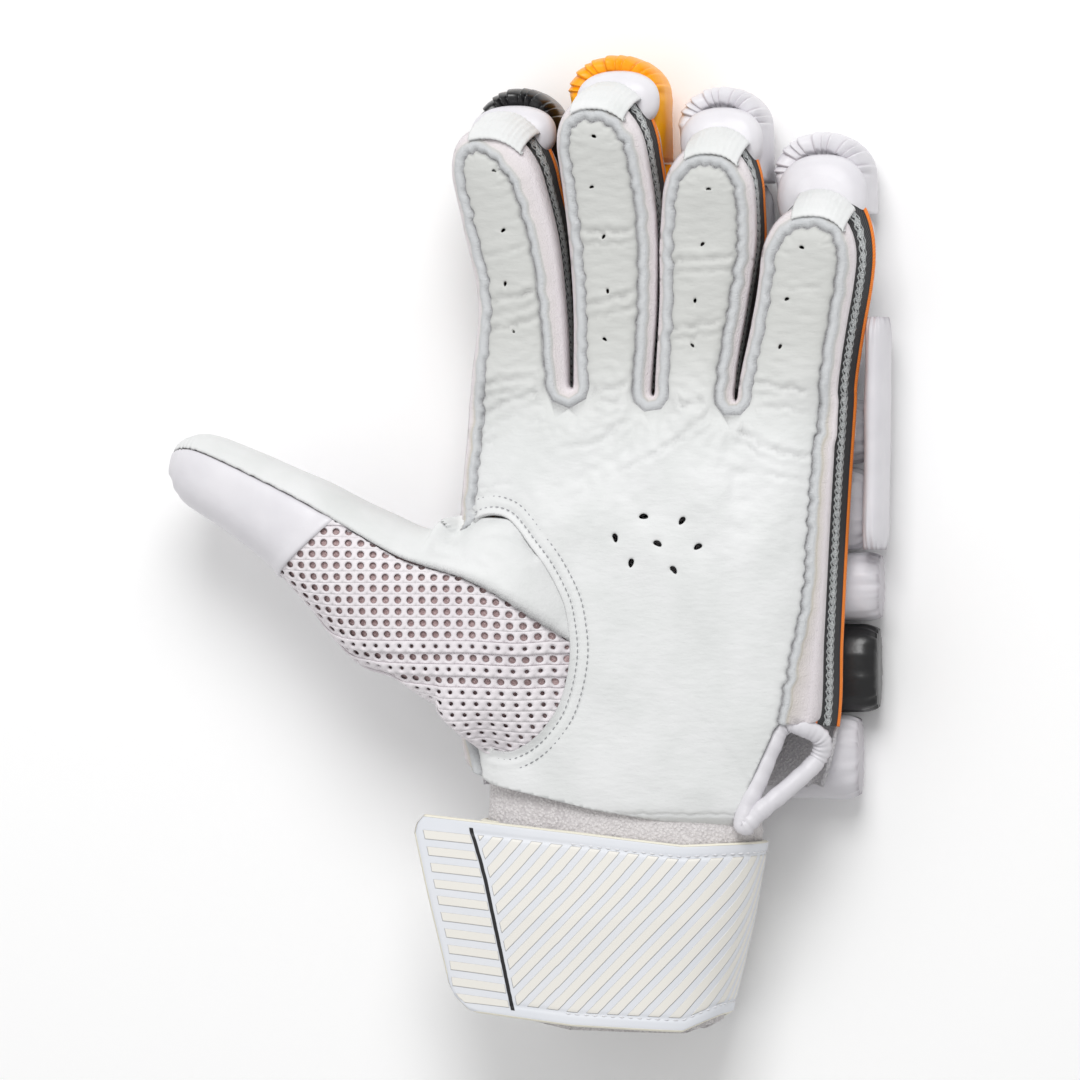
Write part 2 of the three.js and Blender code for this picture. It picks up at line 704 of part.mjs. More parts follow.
// The pad on the little finger's side, from beside its knuckle to half-way down the palm.
function outerGuard() {
  const fromY = 0.116 * palmLength;
  const toY = rootY + 0.27 * longestFinger;
  return loft(
    rollShares.map((share, k) => {
      const y = lerp(fromY, toY, share);
      const side = guardX + seatGap + 0.008 * palmWidth * share;
      const shrink = (1 - rollFull[k]) * 0.5;
      return handRing({
        y,
        left: side,
        right: side + sideGuard * (1 - shrink),
        bottom: (0.3 + 0.42 * shrink) * padDepth,
        top: (1 - 0.42 * shrink) * padDepth + 0.28 * handDepth,
        power: 2.8,
        count: 12,
      });
    }),
  );
}

// A pad behind the thumb between two shares of its reach, hollowed to the thumb's own back.
function thumbPad(fromOut, toOut) {
  const rings = rollShares.map((share, k) => {
    const row = between(thumbRows, 'out', lerp(fromOut, toOut, share));
    const place = thumbPlace(row);
    const full = lerp(0.75, 1, rollFull[k]);
    const depth = thumbGuard + 0.45 * place.halfDepth;
    const drop = place.halfDepth + thumbGuard - depth / 2;
    return thumbRing(place, 0.97 * place.halfWidth * full, (depth / 2) * full, drop, 2.8, 14);
  });
  return loft(rings);
}

// The hand as one hollow shell, before it is divided into its leather, side tape and back cloth.
const handHollow = handBody(-wall);
const thumbHollow = thumbBody(-wall);
const handGrown = handBody(seatGap);
const handShell = handBody(0).subtract(handHollow).subtract(thumbHollow);
const thumbShell = thumbBody(0).subtract(thumbHollow).subtract(handGrown);
const ventGrown = binding(1.6 * seatGap);

// The plan of the palm leather: cut to the wrist line and, on the right, along the side vent.
const leatherPlan = planRegion([
  [-palmWidth, reachY + palmLength / 2],
  [-palmWidth, wristY + 0.175 * palmLength],
  [-0.5 * palmWidth, wristY + 0.165 * palmLength],
  [-0.465 * palmWidth, wristY + 0.125 * palmLength],
  [-0.41 * palmWidth, wristY + 0.098 * palmLength],
  [-0.107 * palmWidth, wristY + 0.036 * palmLength],
  [0.14 * palmWidth, wristY + 0.004 * palmLength],
  [0.241 * palmWidth, wristY],
  [0.365 * palmWidth, -0.288 * palmLength],
  [0.455 * palmWidth, -0.1 * palmLength],
  [palmWidth, -0.1 * palmLength],
  [palmWidth, reachY + palmLength / 2],
]);
const sidePlan = planRegion([
  [-palmWidth, reachY + palmLength / 2],
  [-palmWidth, wristY + 0.13 * palmLength],
  [-0.3 * palmWidth, wristY + 0.13 * palmLength],
  [-0.3 * palmWidth, wristY + 0.258 * palmLength],
  [palmWidth, wristY + 0.258 * palmLength],
  [palmWidth, reachY + palmLength / 2],
]);
const backPlan = planRegion([
  [-palmWidth, reachY + palmLength / 2],
  [-palmWidth, wristY + 0.14 * palmLength],
  [-0.415 * palmWidth, wristY + 0.105 * palmLength],
  [-0.4 * palmWidth, wristY + 0.046 * palmLength],
  [palmWidth, wristY + 0.046 * palmLength],
  [palmWidth, reachY + palmLength / 2],
]);

// The punched holes in the middle of the palm: one in a ring of six.
const ventMiddle = [0.046 * palmWidth, 0.132 * palmLength];
const ventRing = Array.from({ length: 6 }, (unused, k) => {
  const turn = (Math.PI / 3) * k - 0.1;
  return [ventMiddle[0] + 0.11 * palmWidth * Math.cos(turn), ventMiddle[1] + 0.071 * palmLength * Math.sin(turn)];
});
function ventPunch([x, y]) {
  const punch = new THREE.CylinderGeometry(ventHole / 2, ventHole / 2, handDepth, 6);
  return solid(punch.rotateX(Math.PI / 2).translate(x, y, backZ + handDepth));
}

const leather = [ventMiddle, ...ventRing].reduce(
  (cut, hole) => cut.subtract(ventPunch(hole)),
  handShell.intersect(layer(seamZ + seatGap / 2, farAway / 4)).intersect(leatherPlan).subtract(ventGrown),
);
const cloth = handShell.intersect(layer(-farAway / 4, clothZ - seatGap / 2)).intersect(backPlan).subtract(ventGrown);

// The side tape is cut at the webs between the fingers, into one piece for each finger.
function webCuts() {
  return [0, 1, 2].map((k) => {
    const x = (fingerSides(fingers[k], rootY).right + fingerSides(fingers[k + 1], rootY).left) / 2;
    const slot = new THREE.BoxGeometry(seatGap, palmLength / 6, farAway / 2);
    return solid(slot.translate(x, rootY, 0));
  });
}
const tape = webCuts().reduce(
  (cut, slot) => cut.subtract(slot),
  handShell.intersect(layer(clothZ + seatGap / 2, seamZ - seatGap / 2)).intersect(sidePlan).subtract(ventGrown),
);

// The largest body of a cut, because a cut may leave crumbs beside it.
const largest = (cut) => cut.decompose().sort((a, b) => b.volume() - a.volume())[0];

// Each finger's own stretch of side tape, told apart by the nearest finger.
function tapeOf(finger) {
  const { left, right } = fingerSides(finger, rootY);
  const strips = tape.decompose().filter((strip) => strip.volume() > 1);
  const offset = (strip) => {
    const { min, max } = strip.boundingBox();
    const tipX = (fingerSides(finger, finger.tipY).left + fingerSides(finger, finger.tipY).right) / 2;
    return max[1] < finger.tipY - 3 || min[0] > tipX || max[0] < tipX ? farAway : Math.abs(min[0] + max[0] - left - right);
  };
  return strips.sort((a, b) => offset(a) - offset(b))[0];
}

const glove = new THREE.Group();

function add(name, body, material) {
  const mesh = body.getMesh();
  const positions = new Float32Array(mesh.numVert * 3);
  for (let k = 0; k < mesh.numVert; k++) {
    positions.set(mesh.vertProperties.subarray(k * mesh.numProp, k * mesh.numProp + 3), k * 3);
  }
  const geometry = new THREE.BufferGeometry();
  geometry.setAttribute('position', new THREE.BufferAttribute(positions, 3));
  geometry.setIndex(new THREE.BufferAttribute(mesh.triVerts, 1));
  geometry.computeVertexNormals();
  const piece = new THREE.Mesh(geometry, material);
  piece.name = name;
  glove.add(piece);
}

add('palm_leather', largest(leather), palmWhite);
add('back_cloth', largest(cloth), clothWhite);
fingers.forEach((finger) => {
  add(`side_tape_${finger.name}`, tapeOf(finger), tapeBlack);
});

add('thumb_leather', largest(thumbShell.intersect(leatherSide(seatGap / 2))), palmWhite);
const thumbOuter = thumbShell.subtract(leatherSide(-seatGap / 2));
add('thumb_mesh', largest(thumbOuter.subtract(coverSide(-0.75 * seatGap))), clothWhite);
add('thumb_tip_cover', largest(thumbOuter.intersect(coverSide(0.75 * seatGap))), coatedWhite);
const thumbGrown = thumbBody(1.4 * seatGap);
add('thumb_guard_base', largest(thumbPad(0.47, 0.68).subtract(thumbGrown).subtract(handGrown)), coatedWhite);
add('thumb_guard_tip', largest(thumbPad(0.69, 0.965).subtract(thumbGrown)), coatedWhite);

// Roll divisions of a finger, as shares of its whole padded length.
const rollSplits = [0.0, 0.36, 0.68];
fingers.forEach((finger) => {
  const place = (share) => lerp(rootY, finger.endY, share) + seatGap;
  const stall = fingerBody(finger, 1.6 * seatGap);
  const band = tipBand(finger, seatGap);
  const pad = tipPad(finger, place(rollSplits[2]) + seatGap);
  add(`roll_base_${finger.name}`, fingerRoll(finger, place(rollSplits[0]), place(rollSplits[1]) - seatGap), coatedWhite);
  add(`roll_middle_${finger.name}`, fingerRoll(finger, place(rollSplits[1]), place(rollSplits[2]) - seatGap), coatedWhite);
  add(`tip_pad_${finger.name}`, largest(pad.subtract(stall).subtract(band)), finger.tipPaint);
  add(`tip_band_${finger.name}`, largest(tipBand(finger, 0).subtract(stall)), coatedWhite);
  add(`tip_loop_${finger.name}`, largest(tipLoop(finger).subtract(stall).subtract(band)), palmWhite);
});

backRolls.forEach((roll) => add(roll.name, backRoll(roll), roll.paint));
add('side_guard', largest(outerGuard().subtract(handGrown)), coatedWhite);
add('wrist_cuff', largest(cuffBody(0).subtract(cuffBody(-cuffWall)).intersect(cuffPlan)), clothWhite);
add('wrist_strap', largest(strap()), strapWhite);
add('vent_binding', largest(binding(0).subtract(cuffBody(seatGap))), coatedWhite);

export default glove;
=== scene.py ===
"""The looks of a left-hand cricket batting glove that lies palm up on its padded back.

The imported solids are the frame. Each one is replaced by a finer piece in the same place: a leather
palm with rolled seams, woven side tape, stuffed rolls, gathered fingertip covers, a mesh thumb, a
towelling cuff and a ribbed strap. Lengths are in millimetres until a mesh is made.
"""

import logging
import math
from dataclasses import dataclass, field
from enum import Enum
from typing import Callable, Sequence

import bmesh
import bpy
import numpy as np
from mathutils.geometry import delaunay_2d_cdt
from mathutils.kdtree import KDTree
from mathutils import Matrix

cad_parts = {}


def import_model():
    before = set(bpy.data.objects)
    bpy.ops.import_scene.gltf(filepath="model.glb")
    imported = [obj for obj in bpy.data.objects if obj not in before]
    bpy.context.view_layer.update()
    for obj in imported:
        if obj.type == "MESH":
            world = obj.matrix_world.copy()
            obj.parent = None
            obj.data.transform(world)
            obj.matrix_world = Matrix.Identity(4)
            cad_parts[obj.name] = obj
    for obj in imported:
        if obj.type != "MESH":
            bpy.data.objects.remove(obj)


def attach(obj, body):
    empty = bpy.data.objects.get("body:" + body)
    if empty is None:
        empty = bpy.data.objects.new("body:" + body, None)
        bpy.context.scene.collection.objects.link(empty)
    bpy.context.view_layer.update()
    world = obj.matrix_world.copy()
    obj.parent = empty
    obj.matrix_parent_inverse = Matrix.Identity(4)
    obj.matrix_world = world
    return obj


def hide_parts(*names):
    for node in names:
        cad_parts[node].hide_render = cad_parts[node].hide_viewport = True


LOG = logging.getLogger("glove")
MM = 0.001
Array = np.ndarray
Socket = bpy.types.NodeSocket
Tree = bpy.types.NodeTree
Material = bpy.types.Material
Piece = bpy.types.Object
TURN = 2 * math.pi


class Slot(Enum):
    """The record's material slots."""

    LEATHER = "palm_leather"
    CLOTH = "back_cloth"
    TAPE = "side_tape"
    MESH = "thumb_mesh"
    WHITE = "white_cover"
    BLACK = "black_cover"
    ORANGE = "orange_cover"
    TOWEL = "towelling"
    STRAP = "strap"


@dataclass(frozen=True)
class Sizes:
    """The glove's driving sizes and the heights that follow from them."""

    palm_width: float = 112.0
    palm_length: float = 130.0
    hand_depth: float = 32.4
    finger_depth: float = 27.6
    longest_finger: float = 85.0
    curl_rise: float = 12.0
    wall: float = 1.6
    seat_gap: float = 0.35
    pad_depth: float = 19.0
    floor_flat: float = 1.3
    side_bulge: float = 3.4
    tip_flare: float = 10.0
    root_y: float = 62.01
    wrist_y: float = -67.99
    back_z: float = 19.35
    curl_start: float = 74.76
    reach_y: float = 147.01
    seam_z: float = 41.06
    cloth_z: float = 25.18


S = Sizes()


def curl(y: Array) -> Array:
    """How far the fingers rise out of the palm's plane at places along the hand."""
    along = np.maximum(0.0, np.asarray(y, float) - S.curl_start) / (S.reach_y - S.curl_start)
    return S.curl_rise * along**2


def smooth(low: float, high: float, value: Array) -> Array:
    """A soft step from 0 at low to 1 at high."""
    t = np.clip((np.asarray(value, float) - low) / (high - low), 0.0, 1.0)
    return t * t * (3.0 - 2.0 * t)


def spline(keys: Sequence[float], values: Array, at: Array) -> Array:
    """Reads a smooth curve through a table's rows.

    Args:
        keys: The rows' places, rising.
        values: One row of values for each key.
        at: The places to read.

    Returns:
        One row of values for each place, going on straight past the ends.
    """
    keys, values, at = np.asarray(keys, float), np.asarray(values, float), np.asarray(at, float)
    flat = values.ndim == 1
    values = values[:, None] if flat else values
    slopes = np.gradient(values, keys, axis=0)
    k = np.clip(np.searchsorted(keys, at) - 1, 0, len(keys) - 2)
    span = (keys[k + 1] - keys[k])[..., None]
    raw = (at - keys[k])[..., None] / span
    t = np.clip(raw, 0.0, 1.0)
    a, b, da, db = values[k], values[k + 1], slopes[k] * span, slopes[k + 1] * span
    t2, t3 = t * t, t * t * t
    out = (2 * t3 - 3 * t2 + 1) * a + (t3 - 2 * t2 + t) * da + (3 * t2 - 2 * t3) * b + (t3 - t2) * db
    out = out + np.minimum(raw, 0.0) * da + np.maximum(raw - 1.0, 0.0) * db
    return out[..., 0] if flat else out


def bell(value: Array, width: float) -> Array:
    """A soft bump, 1 where a value is 0 and close to 0 past twice its width."""
    return np.exp(-((value / width) ** 2))


def run_along(line: Array) -> Array:
    """How far along a line each of its points is."""
    return np.concatenate([[0], np.cumsum(np.linalg.norm(np.diff(line, axis=0), axis=1))])


def read_along(line: Array, run: Array, at: Array) -> Array:
    """Reads a line's points at places along it, straight between its own points."""
    return np.stack([np.interp(at, run, line[:, k]) for k in range(line.shape[1])], 1)


def unit(ways: Array) -> Array:
    """Directions made one long."""
    return ways / np.linalg.norm(ways, axis=1)[:, None]


def to_right(ahead: Array) -> Array:
    """Directions to the right of others in the plan, made one long."""
    return np.stack([ahead[:, 1], -ahead[:, 0]], 1) / np.linalg.norm(ahead, axis=1)[:, None]


def plan_tree(points: Array) -> KDTree:
    """A search tree of points in the plan."""
    tree = KDTree(len(points))
    for k, (x, y) in enumerate(points):
        tree.insert((x, y, 0.0), k)
    tree.balance()
    return tree


def triangulate(points: Array, edges: list[tuple[int, int]]) -> tuple[Array, Array]:
    """Points and triangles of a plan that keeps the edges."""
    out = delaunay_2d_cdt([tuple(p) for p in points.tolist()], edges, [], 1, 1e-4)
    return np.array([tuple(v) for v in out[0]]), np.array([f for f in out[2] if len(f) == 3])


def packed(count: int, faces: Array) -> tuple[Array, Array]:
    """Which of this many points the faces use, and the faces renumbered for those alone."""
    used = np.unique(faces)
    number = np.full(count, -1)
    number[used] = np.arange(len(used))
    return used, number[faces]


def ripple(points: Array, size: float, seed: int, waves: int = 14) -> Array:
    """A soft repeatable noise over points, from about -1 to 1.

    Args:
        points: Places of one, two or three coordinates each.
        size: The usual length of a wave.
        seed: Which noise it is.
        waves: How many waves are added up.

    Returns:
        One value for each point.
    """
    points = np.asarray(points, float)
    points = points[:, None] if points.ndim == 1 else points
    rng = np.random.default_rng(seed)
    ways = rng.normal(size=(waves, points.shape[-1]))
    ways *= (TURN / size) * rng.uniform(0.6, 1.5, (waves, 1)) / np.linalg.norm(ways, axis=1)[:, None]
    phases = rng.uniform(0, TURN, waves)
    return np.sin(points @ ways.T + phases).sum(axis=-1) * math.sqrt(2.0 / waves) * 0.6


def superellipse(turn: Array, half_x: Array, half_z: Array, power: float) -> tuple[Array, Array]:
    """Points of a rounded rectangle: its corners get squarer as the power grows."""
    c, s = np.cos(turn), np.sin(turn)
    return (half_x * np.sign(c) * np.abs(c) ** (2 / power), half_z * np.sign(s) * np.abs(s) ** (2 / power))


def even_turns(count: int, power: float) -> Array:
    """Turns that spread the points of a rounded rectangle about evenly."""
    fine = np.linspace(0, TURN, 1441)
    x, z = superellipse(fine, 1.0, 1.0, power)
    run = np.concatenate([[0], np.cumsum(np.hypot(np.diff(x), np.diff(z)))])
    return np.interp(np.arange(count) / count * run[-1], run, fine)


def grid_faces(rows: int, cols: int, wrap_rows: bool = False, wrap_cols: bool = False) -> Array:
    """The four-sided faces of a grid of points, row by row."""
    r = np.arange(rows if wrap_rows else rows - 1)
    c = np.arange(cols if wrap_cols else cols - 1)
    rr, cc = np.meshgrid(r, c, indexing="ij")
    rn, cn = (rr + 1) % rows, (cc + 1) % cols
    return np.stack([rr * cols + cc, rr * cols + cn, rn * cols + cn, rn * cols + cc], -1).reshape(-1, 4)


def vertex_normals(points: Array, faces: Array) -> Array:
    """Unit normals at points, from the faces around each."""
    a, b, c = points[faces[:, 0]], points[faces[:, 1]], points[faces[:, 2]]
    across = np.cross(b - a, c - a)
    if faces.shape[1] == 4:
        across = np.cross(points[faces[:, 2]] - a, points[faces[:, 3]] - b)
    total = np.zeros_like(points)
    for k in range(faces.shape[1]):
        np.add.at(total, faces[:, k], across)
    return total / np.maximum(np.linalg.norm(total, axis=1)[:, None], 1e-9)


@dataclass
class Shape:
    """Points and faces on their way to a mesh, with what its finish reads from each point."""

    points: Array
    faces: list[list[int]]
    marks: dict[str, Array] = field(default_factory=dict)
    uv: Array | None = None


def closed_loft(rings: Array, marks: dict[str, Array] | None = None, uv: Array | None = None) -> Shape:
    """A closed body from rings of points, with a fan over each end.

    Args:
        rings: Rings by points by coordinates.
        marks: Values for each point of each ring.
        uv: Pattern places for each point of each ring.

    Returns:
        The body, its faces not yet turned outwards.
    """
    rows, cols = rings.shape[:2]
    points = rings.reshape(-1, 3)
    faces = grid_faces(rows, cols, wrap_cols=True).tolist()
    ends = np.stack([rings[0].mean(0), rings[-1].mean(0)])
    total = rows * cols
    for end, start in ((0, 0), (1, (rows - 1) * cols)):
        faces += [[start + k, start + (k + 1) % cols, total + end] for k in range(cols)]
    flat = {}
    for name, value in (marks or {}).items():
        flat[name] = np.concatenate([value.reshape(-1), [value[0].mean(), value[-1].mean()]])
    places = None
    if uv is not None:
        places = np.concatenate([uv.reshape(-1, 2), [uv[0].mean(0), uv[-1].mean(0)]])
    return Shape(np.concatenate([points, ends]), faces, flat, places)


def make_object(name: str, shape: Shape, angle: float | None = None) -> Piece:
    """Makes a smooth mesh object from a shape, in metres.

    Args:
        name: The object's name.
        shape: Its points, faces, marks and pattern places.
        angle: Edges sharper than this many degrees stay sharp.

    Returns:
        The object, linked to the scene.
    """
    mesh = bpy.data.meshes.new(name)
    mesh.from_pydata((shape.points * MM).tolist(), [], shape.faces)
    mesh.validate()
    for mark, values in shape.marks.items():
        layer = mesh.attributes.new(mark, "FLOAT", "POINT")
        layer.data.foreach_set("value", np.asarray(values, np.float32))
    if shape.uv is not None:
        corners = np.zeros(len(mesh.loops), np.int32)
        mesh.loops.foreach_get("vertex_index", corners)
        layer = mesh.uv_layers.new(name="UVMap")
        layer.data.foreach_set("uv", np.asarray(shape.uv, np.float32)[corners].reshape(-1))
    mesh.shade_smooth()
    piece = bpy.data.objects.new(name, mesh)
    bpy.context.scene.collection.objects.link(piece)
    if angle is not None:
        select_only(piece)
        bpy.ops.object.shade_smooth_by_angle(angle=math.radians(angle))
    return piece


def turn_outwards(piece: Piece, merge: float = 0.0) -> None:
    """Turns every face outwards, after points this close in millimetres are merged."""
    work = bmesh.new()
    work.from_mesh(piece.data)
    if merge:
        bmesh.ops.remove_doubles(work, verts=work.verts, dist=merge * MM)
    bmesh.ops.recalc_face_normals(work, faces=work.faces)
    work.to_mesh(piece.data)
    work.free()


def select_only(piece: Piece) -> None:
    """Makes a piece the only selected and the active object."""
    bpy.ops.object.select_all(action="DESELECT")
    piece.select_set(True)
    bpy.context.view_layer.objects.active = piece


def thicken(piece: Piece, thickness: float) -> None:
    """Gives an open sheet a wall on its inner side, in millimetres."""
    select_only(piece)
    wall = piece.modifiers.new("wall", "SOLIDIFY")
    wall.thickness = thickness * MM
    wall.offset = -1.0
    bpy.ops.object.modifier_apply(modifier=wall.name)


def settle(piece: Piece, slot: Slot, *nodes: str, fill: float | None = None) -> Piece:
    """Hands a finished piece to the frame.

    Args:
        piece: The piece, in place.
        slot: The record's slot that its finish belongs to; not used.
        nodes: The solids that it stands for.
        fill: How full it is, where it is padded; not used.

    Returns:
        The piece.
    """
    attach(piece, "root")
    if nodes:
        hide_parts(*nodes)
    LOG.info("%s: %d faces", piece.name, len(piece.data.polygons))
    return piece


# Finishes

Colour = tuple[float, float, float]


def linear(red: int, green: int, blue: int) -> Colour:
    """A colour read off a screen, as light."""
    return tuple(((c / 255 + 0.055) / 1.055) ** 2.4 if c > 10 else c / 255 / 12.92 for c in (red, green, blue))


class Wiring:
    """Adds and links nodes in a material or a node group."""

    def __init__(self, tree: Tree) -> None:
        """Takes the node tree to build in."""
        self.tree = tree

    def add(self, kind: str, outlet: int | str = 0, inputs: dict | None = None, **settings) -> Socket:
        """Adds a node.

        Args:
            kind: The node's type, without its ShaderNode prefix.
            outlet: The output that is wanted.
            inputs: Values or sockets for its inputs, by name or number.
            settings: Its own properties.

        Returns:
            The wanted output socket.
        """
        node = self.tree.nodes.new("ShaderNode" + kind)
        for key, value in settings.items():
            setattr(node, key, value)
        for key, value in (inputs or {}).items():
            self.feed(node.inputs[key], value)
        return node.outputs[outlet]

    def feed(self, socket: Socket, value) -> None:
        """Links a socket to an input or sets the input's value."""
        if isinstance(value, Socket):
            self.tree.links.new(value, socket)
        elif isinstance(value, tuple) and len(value) == 3 and socket.type == "RGBA":
            socket.default_value = (*value, 1.0)
        else:
            socket.default_value = value

    def math(self, operation: str, a, b=0.0, c=0.0) -> Socket:
        """One step of arithmetic."""
        return self.add("Math", 0, {0: a, 1: b, 2: c}, operation=operation)

    def times(self, a, b) -> Socket:
        """The product of two values."""
        return self.math("MULTIPLY", a, b)

    def plus(self, a, b) -> Socket:
        """The sum of two values."""
        return self.math("ADD", a, b)

    def less(self, a, b) -> Socket:
        """The first value less the second."""
        return self.math("SUBTRACT", a, b)

    def most(self, a, b) -> Socket:
        """The greater of two values."""
        return self.math("MAXIMUM", a, b)

    def size(self, a) -> Socket:
        """A value without its sign."""
        return self.math("ABSOLUTE", a)

    def mix(self, share, a, b) -> Socket:
        """Two colours mixed by a share."""
        node = self.tree.nodes.new("ShaderNodeMix")
        node.data_type = "RGBA"
        self.feed(node.inputs[0], share)
        self.feed(node.inputs[6], a)
        self.feed(node.inputs[7], b)
        return node.outputs[2]

    def range(self, value, low: float, high: float, to_low: float = 0.0, to_high: float = 1.0):
        """A value taken from one range to another, held at its ends."""
        inputs = {0: value, 1: low, 2: high, 3: to_low, 4: to_high}
        return self.add("MapRange", 0, inputs, interpolation_type="SMOOTHSTEP")

    def band(self, value, middle: float, half: float, soft: float) -> Socket:
        """One where a value is within half of the middle, and zero away from it."""
        away = self.size(self.less(value, middle))
        return self.range(away, half + soft, half - soft)

    def noise(self, vector, scale: float, detail: float = 2.0, rough: float = 0.5) -> Socket:
        """Cloudy noise over a vector."""
        inputs = {"Vector": vector, "Scale": scale, "Detail": detail, "Roughness": rough}
        return self.add("TexNoise", "Fac", inputs)

    def mark(self, name: str) -> Socket:
        """A value that the mesh keeps at each point."""
        return self.add("Attribute", "Fac", attribute_name=name)

    def stretched(self, vector, scale: tuple[float, float, float], turn: float = 0.0) -> Socket:
        """A vector scaled along its axes, after a turn in its plane."""
        return self.add("Mapping", 0, {"Vector": vector, "Scale": scale, "Rotation": (0.0, 0.0, turn)})

    def effect(self, group: Tree, outlet: str, inputs: dict) -> Socket:
        """Places a shared effect."""
        node = self.tree.nodes.new("ShaderNodeGroup")
        node.node_tree = group
        for key, value in inputs.items():
            self.feed(node.inputs[key], value)
        return node.outputs[outlet]


def new_effect(name: str, inlets: dict[str, float | None], outlets: Sequence[str]):
    """Starts a shared effect.

    Args:
        name: Its name.
        inlets: Its inputs, each a number's first value, or None for a vector.
        outlets: Its outputs, all numbers.

    Returns:
        The group, its wiring, its input sockets by name and its output node.
    """
    group = bpy.data.node_groups.new(name, "ShaderNodeTree")
    for inlet, value in inlets.items():
        kind = "NodeSocketVector" if value is None else "NodeSocketFloat"
        socket = group.interface.new_socket(inlet, in_out="INPUT", socket_type=kind)
        if value is not None:
            socket.default_value = value
    for outlet in outlets:
        group.interface.new_socket(outlet, in_out="OUTPUT", socket_type="NodeSocketFloat")
    source = group.nodes.new("NodeGroupInput")
    sink = group.nodes.new("NodeGroupOutput")
    return group, Wiring(group), {s.name: s for s in source.outputs if s.name}, sink


class Effects:
    """The effects that several finishes share."""

    def __init__(self) -> None:
        """Builds each effect once."""
        self.grain = self._grain()
        self.weave = self._weave()
        self.tone = self._tone()

    @staticmethod
    def _grain() -> Tree:
        """Leather grain: small cells with fine folds between them."""
        group, w, at, sink = new_effect("leather_grain", {"Vector": None, "Scale": 900.0, "Folds": 0.5}, ["Height"])
        cells = w.add("TexVoronoi", "Distance", {"Vector": at["Vector"], "Scale": at["Scale"]}, feature="SMOOTH_F1")
        coarse = w.times(at["Scale"], 0.33)
        folds = w.add("TexNoise", "Fac", {"Vector": at["Vector"], "Scale": coarse, "Detail": 3.0})
        height = w.plus(w.times(cells, 0.45), w.times(folds, at["Folds"]))
        w.feed(sink.inputs["Height"], height)
        return group

    @staticmethod
    def _weave() -> Tree:
        """A fine knit or weave, seen as crossed ridges."""
        group, w, at, sink = new_effect("weave", {"Vector": None, "Scale": 1200.0}, ["Height"])
        parts = w.tree.nodes.new("ShaderNodeSeparateXYZ")
        w.feed(parts.inputs[0], at["Vector"])
        ridges = [w.math("SINE", w.times(parts.outputs[k], at["Scale"])) for k in (0, 1)]
        third = w.math("SINE", w.times(parts.outputs[2], at["Scale"]))
        height = w.plus(w.times(ridges[0], ridges[1]), w.times(third, 0.4))
        w.feed(sink.inputs["Height"], height)
        return group

    @staticmethod
    def _tone() -> Tree:
        """Soft uneven colour, as handled and slightly soiled goods have."""
        group, w, at, sink = new_effect("tone", {"Vector": None, "Scale": 40.0}, ["Share"])
        clouds = w.noise(at["Vector"], at["Scale"], 3.0, 0.6)
        w.feed(sink.inputs["Share"], w.range(clouds, 0.3, 0.72))
        return group


class Finish:
    """A material's beginning: a shader, its wiring and the place that patterns read."""

    def __init__(
        self, name: str, effects: Effects, roughness: float, sheen: float = 0.0, coat: float = 0.0
    ) -> None:
        """Starts a material.

        Args:
            name: Its name.
            effects: The shared effects.
            roughness: The shader's roughness.
            sheen: How much soft fibre light it has.
            coat: How much clear coat it has.
        """
        self.material = bpy.data.materials.new(name)
        self.material.use_nodes = True
        self.w = Wiring(self.material.node_tree)
        self.shader = self.material.node_tree.nodes["Principled BSDF"]
        self.shader.inputs["Roughness"].default_value = roughness
        self.shader.inputs["Sheen Weight"].default_value = sheen
        self.shader.inputs["Coat Weight"].default_value = coat
        self.shader.inputs["Coat Roughness"].default_value = 0.35
        self.effects = effects
        self.place = self.w.add("TexCoord", "Object")

    def colour(self, value) -> None:
        """Sets or links the base colour."""
        self.w.feed(self.shader.inputs["Base Color"], value)

    def bump(self, *layers: tuple[Socket, float]) -> None:
        """Adds bumps one over another.

        Args:
            layers: Each a height and how high one is, in millimetres.
        """
        normal = None
        for height, rise in layers:
            inputs = {"Height": height, "Distance": rise * MM, "Strength": 1.0}
            if normal is not None:
                inputs["Normal"] = normal
            normal = self.w.add("Bump", "Normal", inputs)
        self.w.feed(self.shader.inputs["Normal"], normal)

    def grain(self, scale: float, folds: float = 0.5, vector=None) -> Socket:
        """Leather grain with this many cells to the metre."""
        inputs = {"Vector": vector or self.place, "Scale": scale, "Folds": folds}
        return self.w.effect(self.effects.grain, "Height", inputs)

    def tone(self, scale: float = 40.0) -> Socket:
        """Soft uneven share."""
        return self.w.effect(self.effects.tone, "Share", {"Vector": self.place, "Scale": scale})


